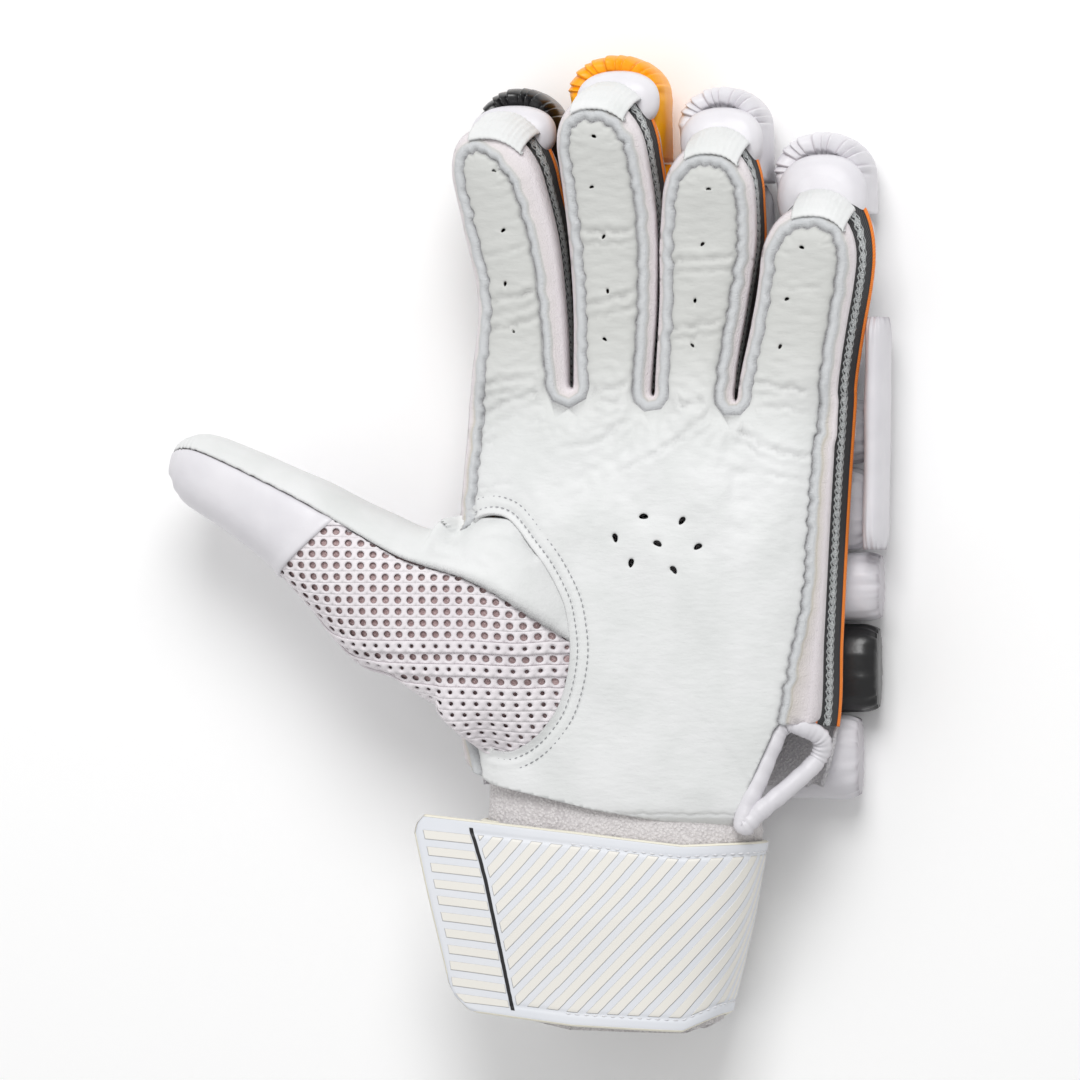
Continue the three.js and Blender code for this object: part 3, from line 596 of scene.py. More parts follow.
@dataclass(frozen=True)
class LeatherFinish:
    """Supple undyed leather with rolled seams and creases, and painted shade in its creases, along its seams and
    over its fingers.
    """

    name: str = "palm_leather"
    light: Colour = linear(228, 229, 229)
    dark: Colour = linear(219, 221, 220)
    # painted shade: the darker colour of the leather over the fingers, standing for the shade on them
    soil: Colour = linear(201, 202, 199)
    # painted shade: the colour that creases, wrinkles and seam lines darken towards
    crease: Colour = linear(112, 108, 112)
    strip: Colour = linear(236, 229, 232)
    rim: Colour = linear(206, 208, 210)
    cream: Colour = linear(214, 206, 192)

    def build(self, effects: Effects) -> Material:
        """Makes the material."""
        f = Finish(self.name, effects, 0.58, sheen=0.1)
        w = f.w
        crease, strip, rim, cream = (w.mark(n) for n in ("crease", "strip", "rim", "cream"))
        base = w.mix(f.tone(45.0), self.light, self.dark)
        # painted shade: darkens the leather over the fingers
        base = w.mix(w.mark("soil"), base, self.soil)
        base = w.mix(rim, base, self.rim)
        base = w.mix(strip, base, self.strip)
        base = w.mix(cream, base, self.cream)
        speck = w.range(w.noise(f.place, 2600.0, 1.0), 0.42, 0.62, 0.55, 1.0)
        # painted shade: the crease mark, broken by a fine speckle, darkens the leather towards the crease colour
        f.colour(w.mix(w.times(crease, speck), base, self.crease))
        lines = w.stretched(f.place, (0.34, 1.0, 1.0))
        fine = w.noise(lines, 620.0, 3.0, 0.6)
        fuzz = w.noise(f.place, 2200.0, 2.0, 0.7)
        f.bump((f.grain(820.0, 0.5), 0.10), (fine, 0.20), (w.times(fuzz, w.plus(strip, rim)), 0.35))
        return f.material


@dataclass(frozen=True)
class CoatedFinish:
    """Smooth coated leathercloth over the pads, with painted shade where a piece's crease mark is set."""

    name: str
    light: Colour
    dark: Colour
    roughness: float = 0.42
    coat: float = 0.0
    # painted shade: the colour that the crease mark darkens towards
    shade: Colour = linear(150, 140, 148)

    def build(self, effects: Effects) -> Material:
        """Makes the material."""
        f = Finish(self.name, effects, self.roughness, coat=self.coat)
        w = f.w
        base = w.mix(f.tone(38.0), self.light, self.dark)
        # painted shade: the crease mark darkens gathers, pleats and seams towards the shade colour
        f.colour(w.mix(w.mark("crease"), base, self.shade))
        ripples = w.noise(f.place, 90.0, 2.0, 0.5)
        f.bump((ripples, 0.5), (f.grain(1100.0, 0.4), 0.05))
        return f.material


@dataclass(frozen=True)
class FuzzyFinish:
    """Towelling, knit and brushed lining cloth."""

    name: str
    light: Colour
    dark: Colour
    loops: float = 900.0
    rise: float = 0.5

    def build(self, effects: Effects) -> Material:
        """Makes the material."""
        f = Finish(self.name, effects, 0.95, sheen=0.3)
        w = f.w
        loops = w.add("TexVoronoi", "Distance", {"Vector": f.place, "Scale": self.loops}, feature="F1")
        shade = w.range(loops, 0.15, 0.75)
        f.colour(w.mix(w.times(shade, w.range(f.tone(60.0), 0.0, 1.0, 0.5, 1.0)), self.light, self.dark))
        knit = w.effect(effects.weave, "Height", {"Vector": f.place, "Scale": 3.0 * self.loops})
        f.bump((w.times(loops, -1.0), self.rise), (w.noise(f.place, 2.4 * self.loops, 2.0), 0.2), (knit, 0.04))
        return f.material


@dataclass(frozen=True)
class TapeFinish:
    """Woven side tape: orange edges, black ground and an open grey braid down its middle."""

    name: str = "side_tape"
    orange: Colour = linear(255, 122, 18)
    black: Colour = linear(20, 20, 22)
    braid: Colour = linear(222, 226, 226)
    edge: float = 0.13
    pitch: float = 4.8
    sway: float = 0.068
    strand: float = 0.034

    def build(self, effects: Effects) -> Material:
        """Makes the material."""
        f = Finish(self.name, effects, 0.85, sheen=0.15)
        w = f.w
        parts = w.tree.nodes.new("ShaderNodeSeparateXYZ")
        w.feed(parts.inputs[0], w.add("UVMap", 0, uv_map="UVMap"))
        along, across = parts.outputs[0], parts.outputs[1]
        side = w.size(w.less(across, 0.5))
        middle = w.less(across, 0.5)
        wave = w.math("SINE", w.times(along, TURN / self.pitch))
        wobble = w.times(w.less(w.noise(f.place, 800.0), 0.5), 0.05)
        strands = None
        for sign, size in ((1.0, 1.0), (-1.0, 1.0), (1.0, 0.35), (-1.0, 0.35)):
            path = w.math("MULTIPLY_ADD", wave, sign * self.sway * size, wobble)
            thread = w.band(w.less(middle, path), 0.0, self.strand, 0.012)
            strands = thread if strands is None else w.most(strands, thread)
        quick = w.math("SINE", w.times(along, 4 * math.pi / self.pitch))
        for sign in (1.0, -1.0):
            path = w.math("MULTIPLY_ADD", quick, 0.022, sign * 0.105)
            thread = w.band(w.less(middle, path), 0.0, 0.022, 0.012)
            strands = w.most(strands, thread)
        rib = w.math("SINE", w.math("MULTIPLY_ADD", along, TURN / 0.62, w.times(across, 60.0)))
        fibre = w.noise(f.place, 3200.0, 2.0)
        black = w.mix(w.range(rib, -1.0, 1.0), self.black, linear(42, 42, 46))
        braid = w.mix(w.range(fibre, 0.35, 0.65), self.braid, linear(140, 143, 145))
        ground = w.mix(strands, black, braid)
        orange = w.mix(w.range(rib, -1.0, 1.0), self.orange, linear(255, 150, 40))
        edge = w.range(side, 0.5 - self.edge - 0.008, 0.5 - self.edge + 0.008)
        f.colour(w.mix(edge, ground, orange))
        height = w.most(w.times(strands, 1.0), w.times(edge, 0.8))
        f.bump((height, 0.55), (w.times(rib, 0.5), 0.12), (fibre, 0.15))
        return f.material


@dataclass(frozen=True)
class StrapFinish:
    """Moulded strap: pale ground, raised cream ribs, a cream rim and a dark cut line."""

    name: str = "strap"
    ground: Colour = linear(227, 229, 234)
    rib: Colour = linear(234, 231, 224)
    rim: Colour = linear(240, 236, 220)
    dark: Colour = linear(12, 12, 14)
    pitch: float = 4.9
    slope: float = math.radians(48)

    def build(self, effects: Effects) -> Material:
        """Makes the material, from each point's distances to the strap's edges and its cut line."""
        f = Finish(self.name, effects, 0.42)
        w = f.w
        top, low, left, cut, run, down = (w.mark(n) for n in ("top", "low", "left", "cut", "run", "down"))

        def stripes(place: Socket, half: float) -> Socket:
            """Even stripes, one wide as half tells, in a place that grows by 1 for each."""
            saw = w.size(w.less(w.math("FRACT", place), 0.5))
            return w.range(saw, half + 0.035, half - 0.035)

        def within(*limits: tuple[Socket, float]) -> Socket:
            """One where every value is above its limit."""
            share = 1.0
            for value, limit in limits:
                share = w.times(share, w.range(value, limit - 0.12, limit + 0.12))
            return share

        level = stripes(w.math("MULTIPLY_ADD", top, 1 / self.pitch, -0.68), 0.27)
        beside = w.times(cut, -1.0)
        level = w.times(level, within((left, 3.3), (beside, 0.9), (top, 3.4), (low, 3.2)))
        width = 6.6 * math.sin(self.slope)
        slant = w.times(run, math.sin(self.slope) / width)
        slant = w.math("MULTIPLY_ADD", down, math.cos(self.slope) / width, slant)
        ribs = w.times(stripes(slant, 0.28), within((cut, 1.6), (top, 4.3), (low, 4.3)))
        ribs = w.most(ribs, level)
        rim = w.range(w.math("MINIMUM", w.math("MINIMUM", top, low), left), 0.75, 0.5)
        line = w.times(w.band(cut, 0.0, 0.55, 0.1), within((top, 2.4), (low, 2.4)))
        base = w.mix(f.tone(30.0), self.ground, linear(222, 225, 231))
        base = w.mix(ribs, base, self.rib)
        base = w.mix(rim, base, self.rim)
        f.colour(w.mix(line, base, self.dark))
        height = w.less(w.plus(ribs, w.times(rim, 0.6)), line)
        f.bump((height, 0.3), (f.grain(1500.0, 0.3), 0.03))
        return f.material


# The form of the hand

SIN_TIP = math.sin(math.radians(77))


@dataclass(frozen=True)
class Finger:
    """One finger: its sides at shares of its length, and how its pads pass and lean from it."""

    name: str
    length: float
    rows: tuple[tuple[float, float, float], ...]
    lean: float
    band_reach: float
    tip_reach: float
    bulge: float
    cover: Slot

    @property
    def tip_y(self) -> float:
        """Where the leather's tip is."""
        return S.root_y + self.length * S.longest_finger

    @property
    def end_y(self) -> float:
        """Where the pad over the tip ends."""
        return self.tip_y + self.tip_reach * S.pad_depth

    @property
    def round(self) -> float:
        """Half the finger's width at its tip, which its rounded end takes up."""
        left, right = self.tip_sides
        return (right - left) / 2

    @property
    def tip_sides(self) -> tuple[float, float]:
        """The left and right sides at the tip."""
        left, right = self.sides(np.array([self.tip_y]))
        return float(left[0]), float(right[0])

    @property
    def start_y(self) -> float:
        """Where the rounded end starts."""
        return self.tip_y - self.round

    def sides(self, y: Array) -> tuple[Array, Array]:
        """The left and right sides at places along the hand."""
        table = np.array(self.rows)
        share = (np.asarray(y, float) - S.root_y) / (self.tip_y - S.root_y)
        out = spline(table[:, 0], table[:, 1:], share) * S.palm_width
        return out[..., 0], out[..., 1]

    def middle_and_half(self, y: Array) -> tuple[Array, Array]:
        """The middle and half width at places along, with the end rounded off."""
        left, right = self.sides(y)
        turn = np.arcsin(np.clip((np.asarray(y, float) - self.start_y) / self.round * SIN_TIP, 0.0, 1.0))
        return (left + right) / 2, (right - left) / 2 * np.cos(turn) ** 0.85

    def share(self, y: Array) -> Array:
        """How far along the finger a place is, from 0 at its root."""
        return np.maximum(0.0, (np.asarray(y, float) - S.root_y) / (self.tip_y - S.root_y))

    def lean_at(self, y: Array) -> Array:
        """How far the finger's back lies to the right of its front."""
        return self.lean * S.palm_width * self.share(y)

    def flare(self, y: Array) -> tuple[Array, Array]:
        """How far the back stands to the right and past the front, in all."""
        on = np.clip((np.asarray(y, float) - self.start_y) / self.round, 0.0, 1.03)
        return 0.7 * self.lean_at(y), S.tip_flare * on

    def edge(self, low: float, count: int = 40, tips: int = 26) -> Array:
        """The plan outline from the right side at low, round the tip, to the left side at low."""
        straight = np.linspace(low, self.start_y, count)
        turns = np.linspace(0, math.pi / 2, tips)[1:]
        y = np.concatenate([straight, self.start_y + self.round * np.sin(turns) / SIN_TIP])
        middle, _ = self.middle_and_half(y)
        left, right = self.sides(y)
        narrow = np.concatenate([np.ones(count), np.cos(turns) ** 0.85])
        half = (right - left) / 2 * narrow
        one = np.stack([middle + half, y], 1)
        other = np.stack([middle - half, y], 1)[::-1]
        return np.concatenate([one, other[1:]])


FINGERS = (
    Finger(
        "index", 0.9,
        ((-0.18, -0.474, -0.214), (0, -0.475, -0.213), (0.4, -0.457, -0.227),
         (0.62, -0.489, -0.244), (0.84, -0.519, -0.278)),
        0.05, 0.553, 0.842, 0.0, Slot.BLACK,
    ),
    Finger(
        "middle", 1.0,
        ((-0.16, -0.193, 0.008), (0, -0.194, 0.01), (0.33, -0.195, 0.025),
         (0.68, -0.214, 0.024), (0.86, -0.228, 0.006)),
        0.042, 0.632, 0.895, 0.0, Slot.ORANGE,
    ),
    Finger(
        "ring", 0.84,
        ((-0.19, 0.028, 0.234), (0, 0.029, 0.236), (0.42, 0.043, 0.277),
         (0.64, 0.046, 0.3), (0.82, 0.058, 0.3)),
        0.006, 0.763, 1.105, 0.0, Slot.WHITE,
    ),
    Finger(
        "little", 0.62,
        ((-0.26, 0.253, 0.512), (0, 0.255, 0.514), (0.35, 0.288, 0.536),
         (0.65, 0.314, 0.562), (0.8, 0.322, 0.571)),
        0.0, 1.0, 1.368, 3.4, Slot.WHITE,
    ),
)


def polygon_distance(polygon: Array, points: Array) -> Array:
    """Distances from points to a closed polygon, positive inside it."""
    best = np.full(len(points), 1e9)
    inside = np.zeros(len(points), bool)
    for a, b in zip(polygon, np.roll(polygon, -1, axis=0)):
        way = b - a
        size = max(float(way @ way), 1e-9)
        t = np.clip(((points - a) @ way) / size, 0, 1)
        best = np.minimum(best, np.sum((points - a - t[:, None] * way) ** 2, axis=1))
        crosses = (a[1] > points[:, 1]) != (b[1] > points[:, 1])
        rise = b[1] - a[1] if abs(b[1] - a[1]) > 1e-9 else 1e-9
        inside ^= crosses & (points[:, 0] < a[0] + (points[:, 1] - a[1]) * way[0] / rise)
    return np.where(inside, 1.0, -1.0) * np.sqrt(best)


def contours(values: Array, xs: Array, ys: Array) -> list[Array]:
    """The closed lines along which a grid of values is zero.

    Args:
        values: The grid, one row for each of ys.
        xs: The columns' places.
        ys: The rows' places.

    Returns:
        Each line's points in order, the longest line first.
    """
    links: dict[tuple, list[tuple]] = {}
    spots: dict[tuple, tuple[float, float]] = {}
    inside = values > 0

    def spot(key: tuple) -> tuple:
        """Places the crossing on one edge of the grid."""
        if key not in spots:
            kind, i, j = key
            a = values[i, j]
            b = values[i, j + 1] if kind == "h" else values[i + 1, j]
            t = a / (a - b)
            if kind == "h":
                spots[key] = (xs[j] + t * (xs[j + 1] - xs[j]), ys[i])
            else:
                spots[key] = (xs[j], ys[i] + t * (ys[i + 1] - ys[i]))
        return key

    cells = inside[:-1, :-1].astype(int) + inside[1:, :-1] + inside[:-1, 1:] + inside[1:, 1:]
    for i, j in zip(*np.nonzero((cells > 0) & (cells < 4))):
        corners = [inside[i, j], inside[i, j + 1], inside[i + 1, j + 1], inside[i + 1, j]]
        edges = [("h", i, j), ("v", i, j + 1), ("h", i + 1, j), ("v", i, j)]
        cut = [spot(edges[k]) for k in range(4) if corners[k] != corners[(k + 1) % 4]]
        if len(cut) == 4 and not corners[0]:
            cut = cut[1:] + cut[:1]
        for a, b in zip(cut[::2], cut[1::2]):
            links.setdefault(a, []).append(b)
            links.setdefault(b, []).append(a)
    lines = []
    while links:
        start = next(iter(links))
        line = [start]
        while links.get(line[-1]):
            step = links[line[-1]].pop()
            links[step].remove(line[-1])
            if not links[line[-1]]:
                del links[line[-1]]
            line.append(step)
        links.pop(line[-1], None)
        lines.append(np.array([spots[k] for k in line[:-1]]))
    return sorted(lines, key=len, reverse=True)


def resample(line: Array, step: float) -> Array:
    """Even points along a closed line, its corners softened."""
    for _ in range(3):
        line = (np.roll(line, 1, 0) + 2 * line + np.roll(line, -1, 0)) / 4
    loop = np.concatenate([line, line[:1]])
    run = run_along(loop)
    count = max(8, int(run[-1] / step))
    at = np.arange(count) / count * run[-1]
    return read_along(loop, run, at)


class HandForm:
    """The hand's plan outline and heights, before its fingers curl and its tips flare."""

    PALM = (
        (0.0, -0.46, 0.38, 0.95), (0.1, -0.478, 0.43, 0.965), (0.23, -0.505, 0.467, 0.985),
        (0.43, -0.509, 0.478, 1.0), (0.64, -0.509, 0.49, 1.0), (0.83, -0.492, 0.503, 0.955),
        (0.955, -0.478, 0.513, 0.885),
    )
    CUT = (
        (-1.0, 2.0), (-1.0, -0.348), (-0.5, -0.358), (-0.465, -0.398), (-0.41, -0.425), (-0.107, -0.487),
        (0.14, -0.519), (0.241, -0.523), (0.365, -0.286), (0.45, -0.282), (0.55, -0.27), (1.0, -0.27), (1.0, 2.0),
    )

    def __init__(self) -> None:
        """Finds the outline of the hand and of its leather."""
        y = np.linspace(0, 0.985, 40)
        table = np.array(self.PALM)
        sides = spline(table[:, 0], table[:, 1:], y)
        right = np.stack([sides[:, 1] * S.palm_width, S.wrist_y + y * S.palm_length], 1)
        left = np.stack([sides[:, 0] * S.palm_width, S.wrist_y + y * S.palm_length], 1)
        web = np.array([[52.0, 58.5], [26.3, 58.7], [0.2, 60.3], [-23.4, 62.8], [-49.0, 63.0]])
        self.palm = np.concatenate([right, web, left[::-1]])
        self.xs = np.arange(-66, 74, 0.8)
        self.ys = np.arange(-76, 154, 0.8)
        gx, gy = np.meshgrid(self.xs, self.ys)
        spots = np.stack([gx.ravel(), gy.ravel()], 1)
        inside = polygon_distance(self.palm, spots)
        for finger in FINGERS:
            low = S.root_y + finger.rows[0][0] * (finger.tip_y - S.root_y)
            other = polygon_distance(finger.edge(low, 16, 18), spots)
            h = np.maximum(1.6 - np.abs(inside - other), 0.0)
            inside = np.maximum(inside, other) + h * h / 6.4
        cut = polygon_distance(np.array(self.CUT) * [S.palm_width, S.palm_length], spots)
        shape = gx.shape
        self.outline = resample(contours(inside.reshape(shape), self.xs, self.ys)[0], 0.9)
        self.leather = resample(contours(np.minimum(inside, cut).reshape(shape), self.xs, self.ys)[0], 0.9)
        ahead = np.roll(self.outline, -1, 0) - np.roll(self.outline, 1, 0)
        turned = to_right(ahead)
        (x, y), (next_x, next_y) = self.outline.T, np.roll(self.outline, -1, 0).T
        area = np.sum(x * next_y - next_x * y)
        self.outward = turned if area > 0 else -turned
        steps = np.linalg.norm(np.diff(self.outline, axis=0), axis=1)
        self.run = np.concatenate([[0], np.cumsum(steps)])
        self.tree = plan_tree(self.outline)

    def nearest(self, spots: Array) -> tuple[Array, Array]:
        """Distances from places to the hand's outline, and the nearest point's number."""
        found = [self.tree.find((x, y, 0.0)) for x, y in spots]
        index = np.array([f[1] for f in found])
        ahead = self.outline[(index + 1) % len(self.outline)] - self.outline[index - 1]
        ahead = unit(ahead)
        offset = spots - self.outline[index]
        along = np.clip(np.sum(offset * ahead, axis=1), -0.5, 0.5)
        return np.linalg.norm(offset - along[:, None] * ahead, axis=1), index

    @staticmethod
    def finger_of(spots: Array) -> tuple[Array, Array]:
        """Which finger each place belongs to, and how far across it, from -1 to 1."""
        across = []
        for finger in FINGERS:
            left, right = finger.sides(np.minimum(spots[:, 1], finger.tip_y))
            across.append((2 * spots[:, 0] - left - right) / (right - left))
        across = np.array(across)
        which = np.argmin(np.abs(across), axis=0)
        return which, across[which, np.arange(len(spots))]

    def crown(self, spots: Array) -> Array:
        """The height of the leather away from its edges."""
        table = np.array(self.PALM)
        up = (np.minimum(spots[:, 1], S.root_y) - S.wrist_y) / S.palm_length
        row = spline(table[:, 0], table[:, 1:], up)
        middle = (row[:, 0] + row[:, 1]) / 2 * S.palm_width
        half = (row[:, 1] - row[:, 0]) / 2 * S.palm_width
        u = np.clip(np.abs(spots[:, 0] - middle) / half, 0, 0.93)
        palm = S.back_z + row[:, 2] * S.hand_depth * (0.5 + 0.5 * (1 - u**3.2) ** 0.3125)
        which, across = self.finger_of(spots)
        stall = np.zeros(len(spots))
        for k, finger in enumerate(FINGERS):
            mine = which == k
            y = spots[mine, 1]
            turn = np.arcsin(np.clip((y - finger.start_y) / finger.round * SIN_TIP, 0, 1))
            flat = 0.16 * S.finger_depth * (1 - np.cos(turn) ** 0.85)
            stall[mine] = S.back_z + S.finger_depth * (1 - 0.05 * np.clip(across[mine], -1, 1) ** 2) - flat
        share = smooth(S.root_y - 10, S.root_y + 6, spots[:, 1])
        return palm * (1 - share) + stall * share

    def place(self, points: Array) -> Array:
        """Flares the tips and curls the fingers of points over the plan."""
        out = points.copy()
        which, _ = self.finger_of(points[:, :2])
        height = np.clip((points[:, 2] - S.back_z) / S.finger_depth, 0, 1)
        for k, finger in enumerate(FINGERS):
            mine = (which == k) & (points[:, 1] > S.root_y - 2)
            side, on = finger.flare(points[mine, 1])
            out[mine, 0] += side * (1 - height[mine])
            out[mine, 1] += on * (1 - height[mine])
        out[:, 2] += curl(points[:, 1])
        return out

    def seams(self) -> tuple[Array, Array]:
        """How wide the sewn strip and the rolled edge are at each point of the outline."""
        edge, out = self.outline, self.outward
        finger = smooth(S.root_y - 14, S.root_y + 4, edge[:, 1])
        which, _ = self.finger_of(edge)
        wide = np.array([4.4, 0.8, 0.7, 0.4])[which]
        facing = 0.75 * out[:, 0] + 0.66 * out[:, 1]
        strip = 1.1 + finger * wide * smooth(0.55, 1.0, facing)
        for _ in range(60):
            strip = (np.roll(strip, 1) + 2 * strip + np.roll(strip, -1)) / 4
        right = smooth(0.2, 0.8, out[:, 0]) * (1 - finger)
        strip += right * (1.0 + 6.0 * smooth(8.0, -40.0, edge[:, 1])) + 0.25 * ripple(self.run, 9.0, 3)
        width = 2.5 + 0.3 * ripple(self.run, 6.0, 4)
        return strip, strip + width + 0.4


HAND = HandForm()


def line_marks(spots: Array, lines: Sequence[Array]) -> Array:
    """The distance from each place to the nearest of some open lines."""
    best = np.full(len(spots), 1e6)
    for line in lines:
        for a, b in zip(line[:-1], line[1:]):
            way = b - a
            t = np.clip(((spots - a) @ way) / max(float(way @ way), 1e-9), 0, 1)
            best = np.minimum(best, np.sum((spots - a - t[:, None] * way) ** 2, axis=1))
    return np.sqrt(best)


def bent(points: Sequence[tuple[float, float]], count: int = 24, wobble: float = 0.5, seed: int = 0) -> Array:
    """A smooth, slightly unsteady open line through a few places."""
    line = np.array(points, float)
    run = run_along(line)
    at = np.linspace(0, run[-1], count)
    out = spline(run, line, at)
    fade = np.sin(np.linspace(0, math.pi, count)) ** 0.5
    shift = np.stack([ripple(at, 7.0, seed), ripple(at, 5.0, seed + 50)], 1)
    return out + wobble * fade[:, None] * shift


@dataclass
class PalmLeather:
    """The front of the hand: one supple piece over the palm and the four fingers."""

    form: HandForm
    thumb: "ThumbForm"
    gap: float = 1.05
    creases: tuple = (
        ((-50.4, 80.4), (-40.6, 82.2), (-28.3, 85.8)), ((-49.7, 90.0), (-39.9, 90.9), (-29.7, 93.0)),
        ((-51.8, 53.4), (-43.7, 58.8), (-31.4, 62.4), (-26.2, 64.8)),
        ((-52.3, 63.6), (-44.3, 65.7), (-34.5, 66.6)), ((-21.9, 110.7), (-10.9, 110.1), (-0.1, 110.7)),
        ((-20.9, 87.6), (-9.8, 90.0), (0.9, 92.7)), ((-19.2, 65.1), (-13.6, 62.7), (-3.2, 65.7)),
        ((4.5, 101.4), (18.0, 101.7), (31.5, 102.9)), ((5.4, 80.7), (16.1, 82.2), (26.0, 83.7)),
        ((5.4, 62.7), (10.0, 59.1), (21.6, 60.0)), ((31.1, 66.0), (40.7, 63.9), (52.0, 62.1)),
        ((26.8, 56.1), (32.2, 49.2), (38.3, 45.6), (49.1, 42.9), (53.1, 42.6)),
    )
    wrinkles: tuple = (
        ((-51.8, 48.0), (-45.1, 52.8), (-37.6, 56.4)), ((-21.0, 61.8), (-11.8, 59.4), (-1.4, 60.6)),
        ((2.9, 60.9), (7.5, 56.1), (14.6, 55.8)), ((35.1, 58.5), (43.7, 57.0), (52.0, 55.2)),
        ((33.8, 94.5), (45.4, 93.0), (56.2, 93.9)), ((24.1, 59.1), (13.2, 49.8), (-0.6, 41.4), (-9.5, 37.2)),
        ((-24.2, 45.3), (-10.1, 48.9), (-4.1, 55.2)), ((34.4, 38.4), (43.2, 36.6), (51.2, 34.8)),
        ((-54.3, 32.7), (-47.9, 33.9), (-37.7, 35.7)), ((-54.6, 30.9), (-48.8, 31.8), (-42.6, 32.7)),
        ((-52.0, 60.0), (-45.0, 62.0), (-36.0, 63.0)), ((-53.0, 44.0), (-48.0, 47.5), (-42.0, 49.0)),
        ((27.5, 54.0), (34.0, 45.0), (41.0, 40.5)), ((22.0, 56.0), (10.0, 46.5), (0.0, 40.5)),
        ((-0.5, 57.0), (-8.0, 52.0), (-15.0, 50.5)), ((-23.5, 59.5), (-28.0, 55.0), (-36.0, 53.0)),
        ((-50.5, 85.0), (-42.0, 86.0), (-30.0, 89.0)), ((-20.9, 84.0), (-10.0, 85.5), (1.0, 88.5)),
        ((5.0, 77.5), (15.0, 78.6), (25.0, 80.0)), ((-22.0, 107.0), (-11.0, 106.4), (0.0, 107.5)),
        ((5.0, 98.0), (18.0, 98.2), (31.0, 99.0)), ((-53.0, 103.0), (-43.0, 104.0), (-32.0, 107.0)),
    )
    folds: tuple = (((1.1, 55.2), (-8.9, 44.4), (-21.8, 32.7)), ((26.0, 52.0), (30.0, 38.0), (31.0, 24.0)))
    finger_holes: tuple = (
        (-43.8, 128.4), (-41.8, 110.7), (-41.7, 94.8), (-39.4, 80.7), (-12.9, 138.3), (-14.3, 123.3),
        (-11.2, 108.6), (-10.4, 92.4), (-11.5, 78.0), (21.2, 122.4), (18.7, 106.2), (16.2, 89.4), (15.2, 76.2),
        (48.8, 105.0), (44.1, 89.7), (41.9, 75.6),
    )
    palm_holes: tuple = (
        (1.2, 24.9), (12.9, 23.7), (-7.4, 18.6), (5.5, 16.8), (17.8, 15.9), (-2.5, 11.1), (10.4, 9.0),
    )

    def holes(self) -> list[tuple[Array, float, float]]:
        """Each punched hole as its middle, radius and turn."""
        out = [(np.array(p), 0.62, 0.7 * k) for k, p in enumerate(self.finger_holes)]
        return out + [(np.array(p), 1.12, 0.9 * k) for k, p in enumerate(self.palm_holes)]

    def plan(self) -> tuple[Array, Array]:
        """The points and triangles of the flat piece, closer together along its seams."""
        form = self.form
        border = form.leather
        opening = self.thumb.opening()
        rim = self.thumb.rim_line()
        rings = [border, rim]
        edges = [(k, (k + 1) % len(border)) for k in range(len(border))]
        edges += [(len(border) + k, len(border) + k + 1) for k in range(len(rim) - 1)]
        total = len(border) + len(rim)
        hole_rings = []
        for middle, radius, turn in self.holes():
            at = np.arange(12) / 12 * TURN
            x, y = 1.25 * radius * np.cos(at), 0.75 * radius * np.sin(at) * (1 + 0.25 * np.sin(at + turn))
            cos, sin = math.cos(turn), math.sin(turn)
            ring = middle + np.stack([x * cos - y * sin, x * sin + y * cos], 1)
            hole_rings.append((middle, radius, ring))
            rings += [ring, middle + (ring - middle) * (1 + 0.55 / radius)]
            edges += [(total + k, total + (k + 1) % 12) for k in range(12)]
            total += 24
        strip, seam = form.seams()
        rows = [0.4 * strip, strip - 0.15, strip + 0.3, 0.6 * strip + 0.4 * seam, 0.35 * strip + 0.65 * seam]
        rows += [seam + d for d in (-0.6, -0.25, 0.0, 0.25, 0.6, 1.1, 1.8, 2.6, 3.5)]
        placed = [border, rim]
        way = self.thumb.rim_way()
        for depth in (0.35, 0.8, 1.3, 1.8, 2.4, 3.2, 4.2):
            placed.append(rim + way * depth)
        for row in rows:
            spots = form.outline - form.outward * row[:, None]
            spots = spots[np.abs(form.nearest(spots)[0] - row) < 0.16]
            placed.append(spots[line_marks(spots, [rim[::3]]) > 4.6])
        gx, gy = np.meshgrid(np.arange(-60, 70, self.gap), np.arange(-70, 150, self.gap * 0.87))
        gx[1::2] += self.gap / 2
        spots = np.stack([gx.ravel(), gy.ravel()], 1)
        away, index = form.nearest(spots)
        spots = spots[(away > seam[index] + 4.1) & (line_marks(spots, [rim[::3]]) > 4.7)]
        placed.append(spots)
        for row in placed[2:]:
            keep = polygon_distance(border[::2], row) > 0.35
            for middle, radius, _ in hole_rings:
                keep &= np.linalg.norm(row - middle, axis=1) > 1.25 * radius + 0.95
            rings.append(row[keep])
        points = np.concatenate(rings)
        flat, faces = triangulate(points, edges)
        centre = flat[faces].mean(axis=1)
        solid = polygon_distance(opening, centre) < 0
        for _, _, ring in hole_rings:
            near = np.linalg.norm(centre - ring.mean(0), axis=1) < 3
            solid[near] &= polygon_distance(ring, centre[near]) < 0
        used, faces = packed(len(flat), faces[solid])
        return flat[used], faces

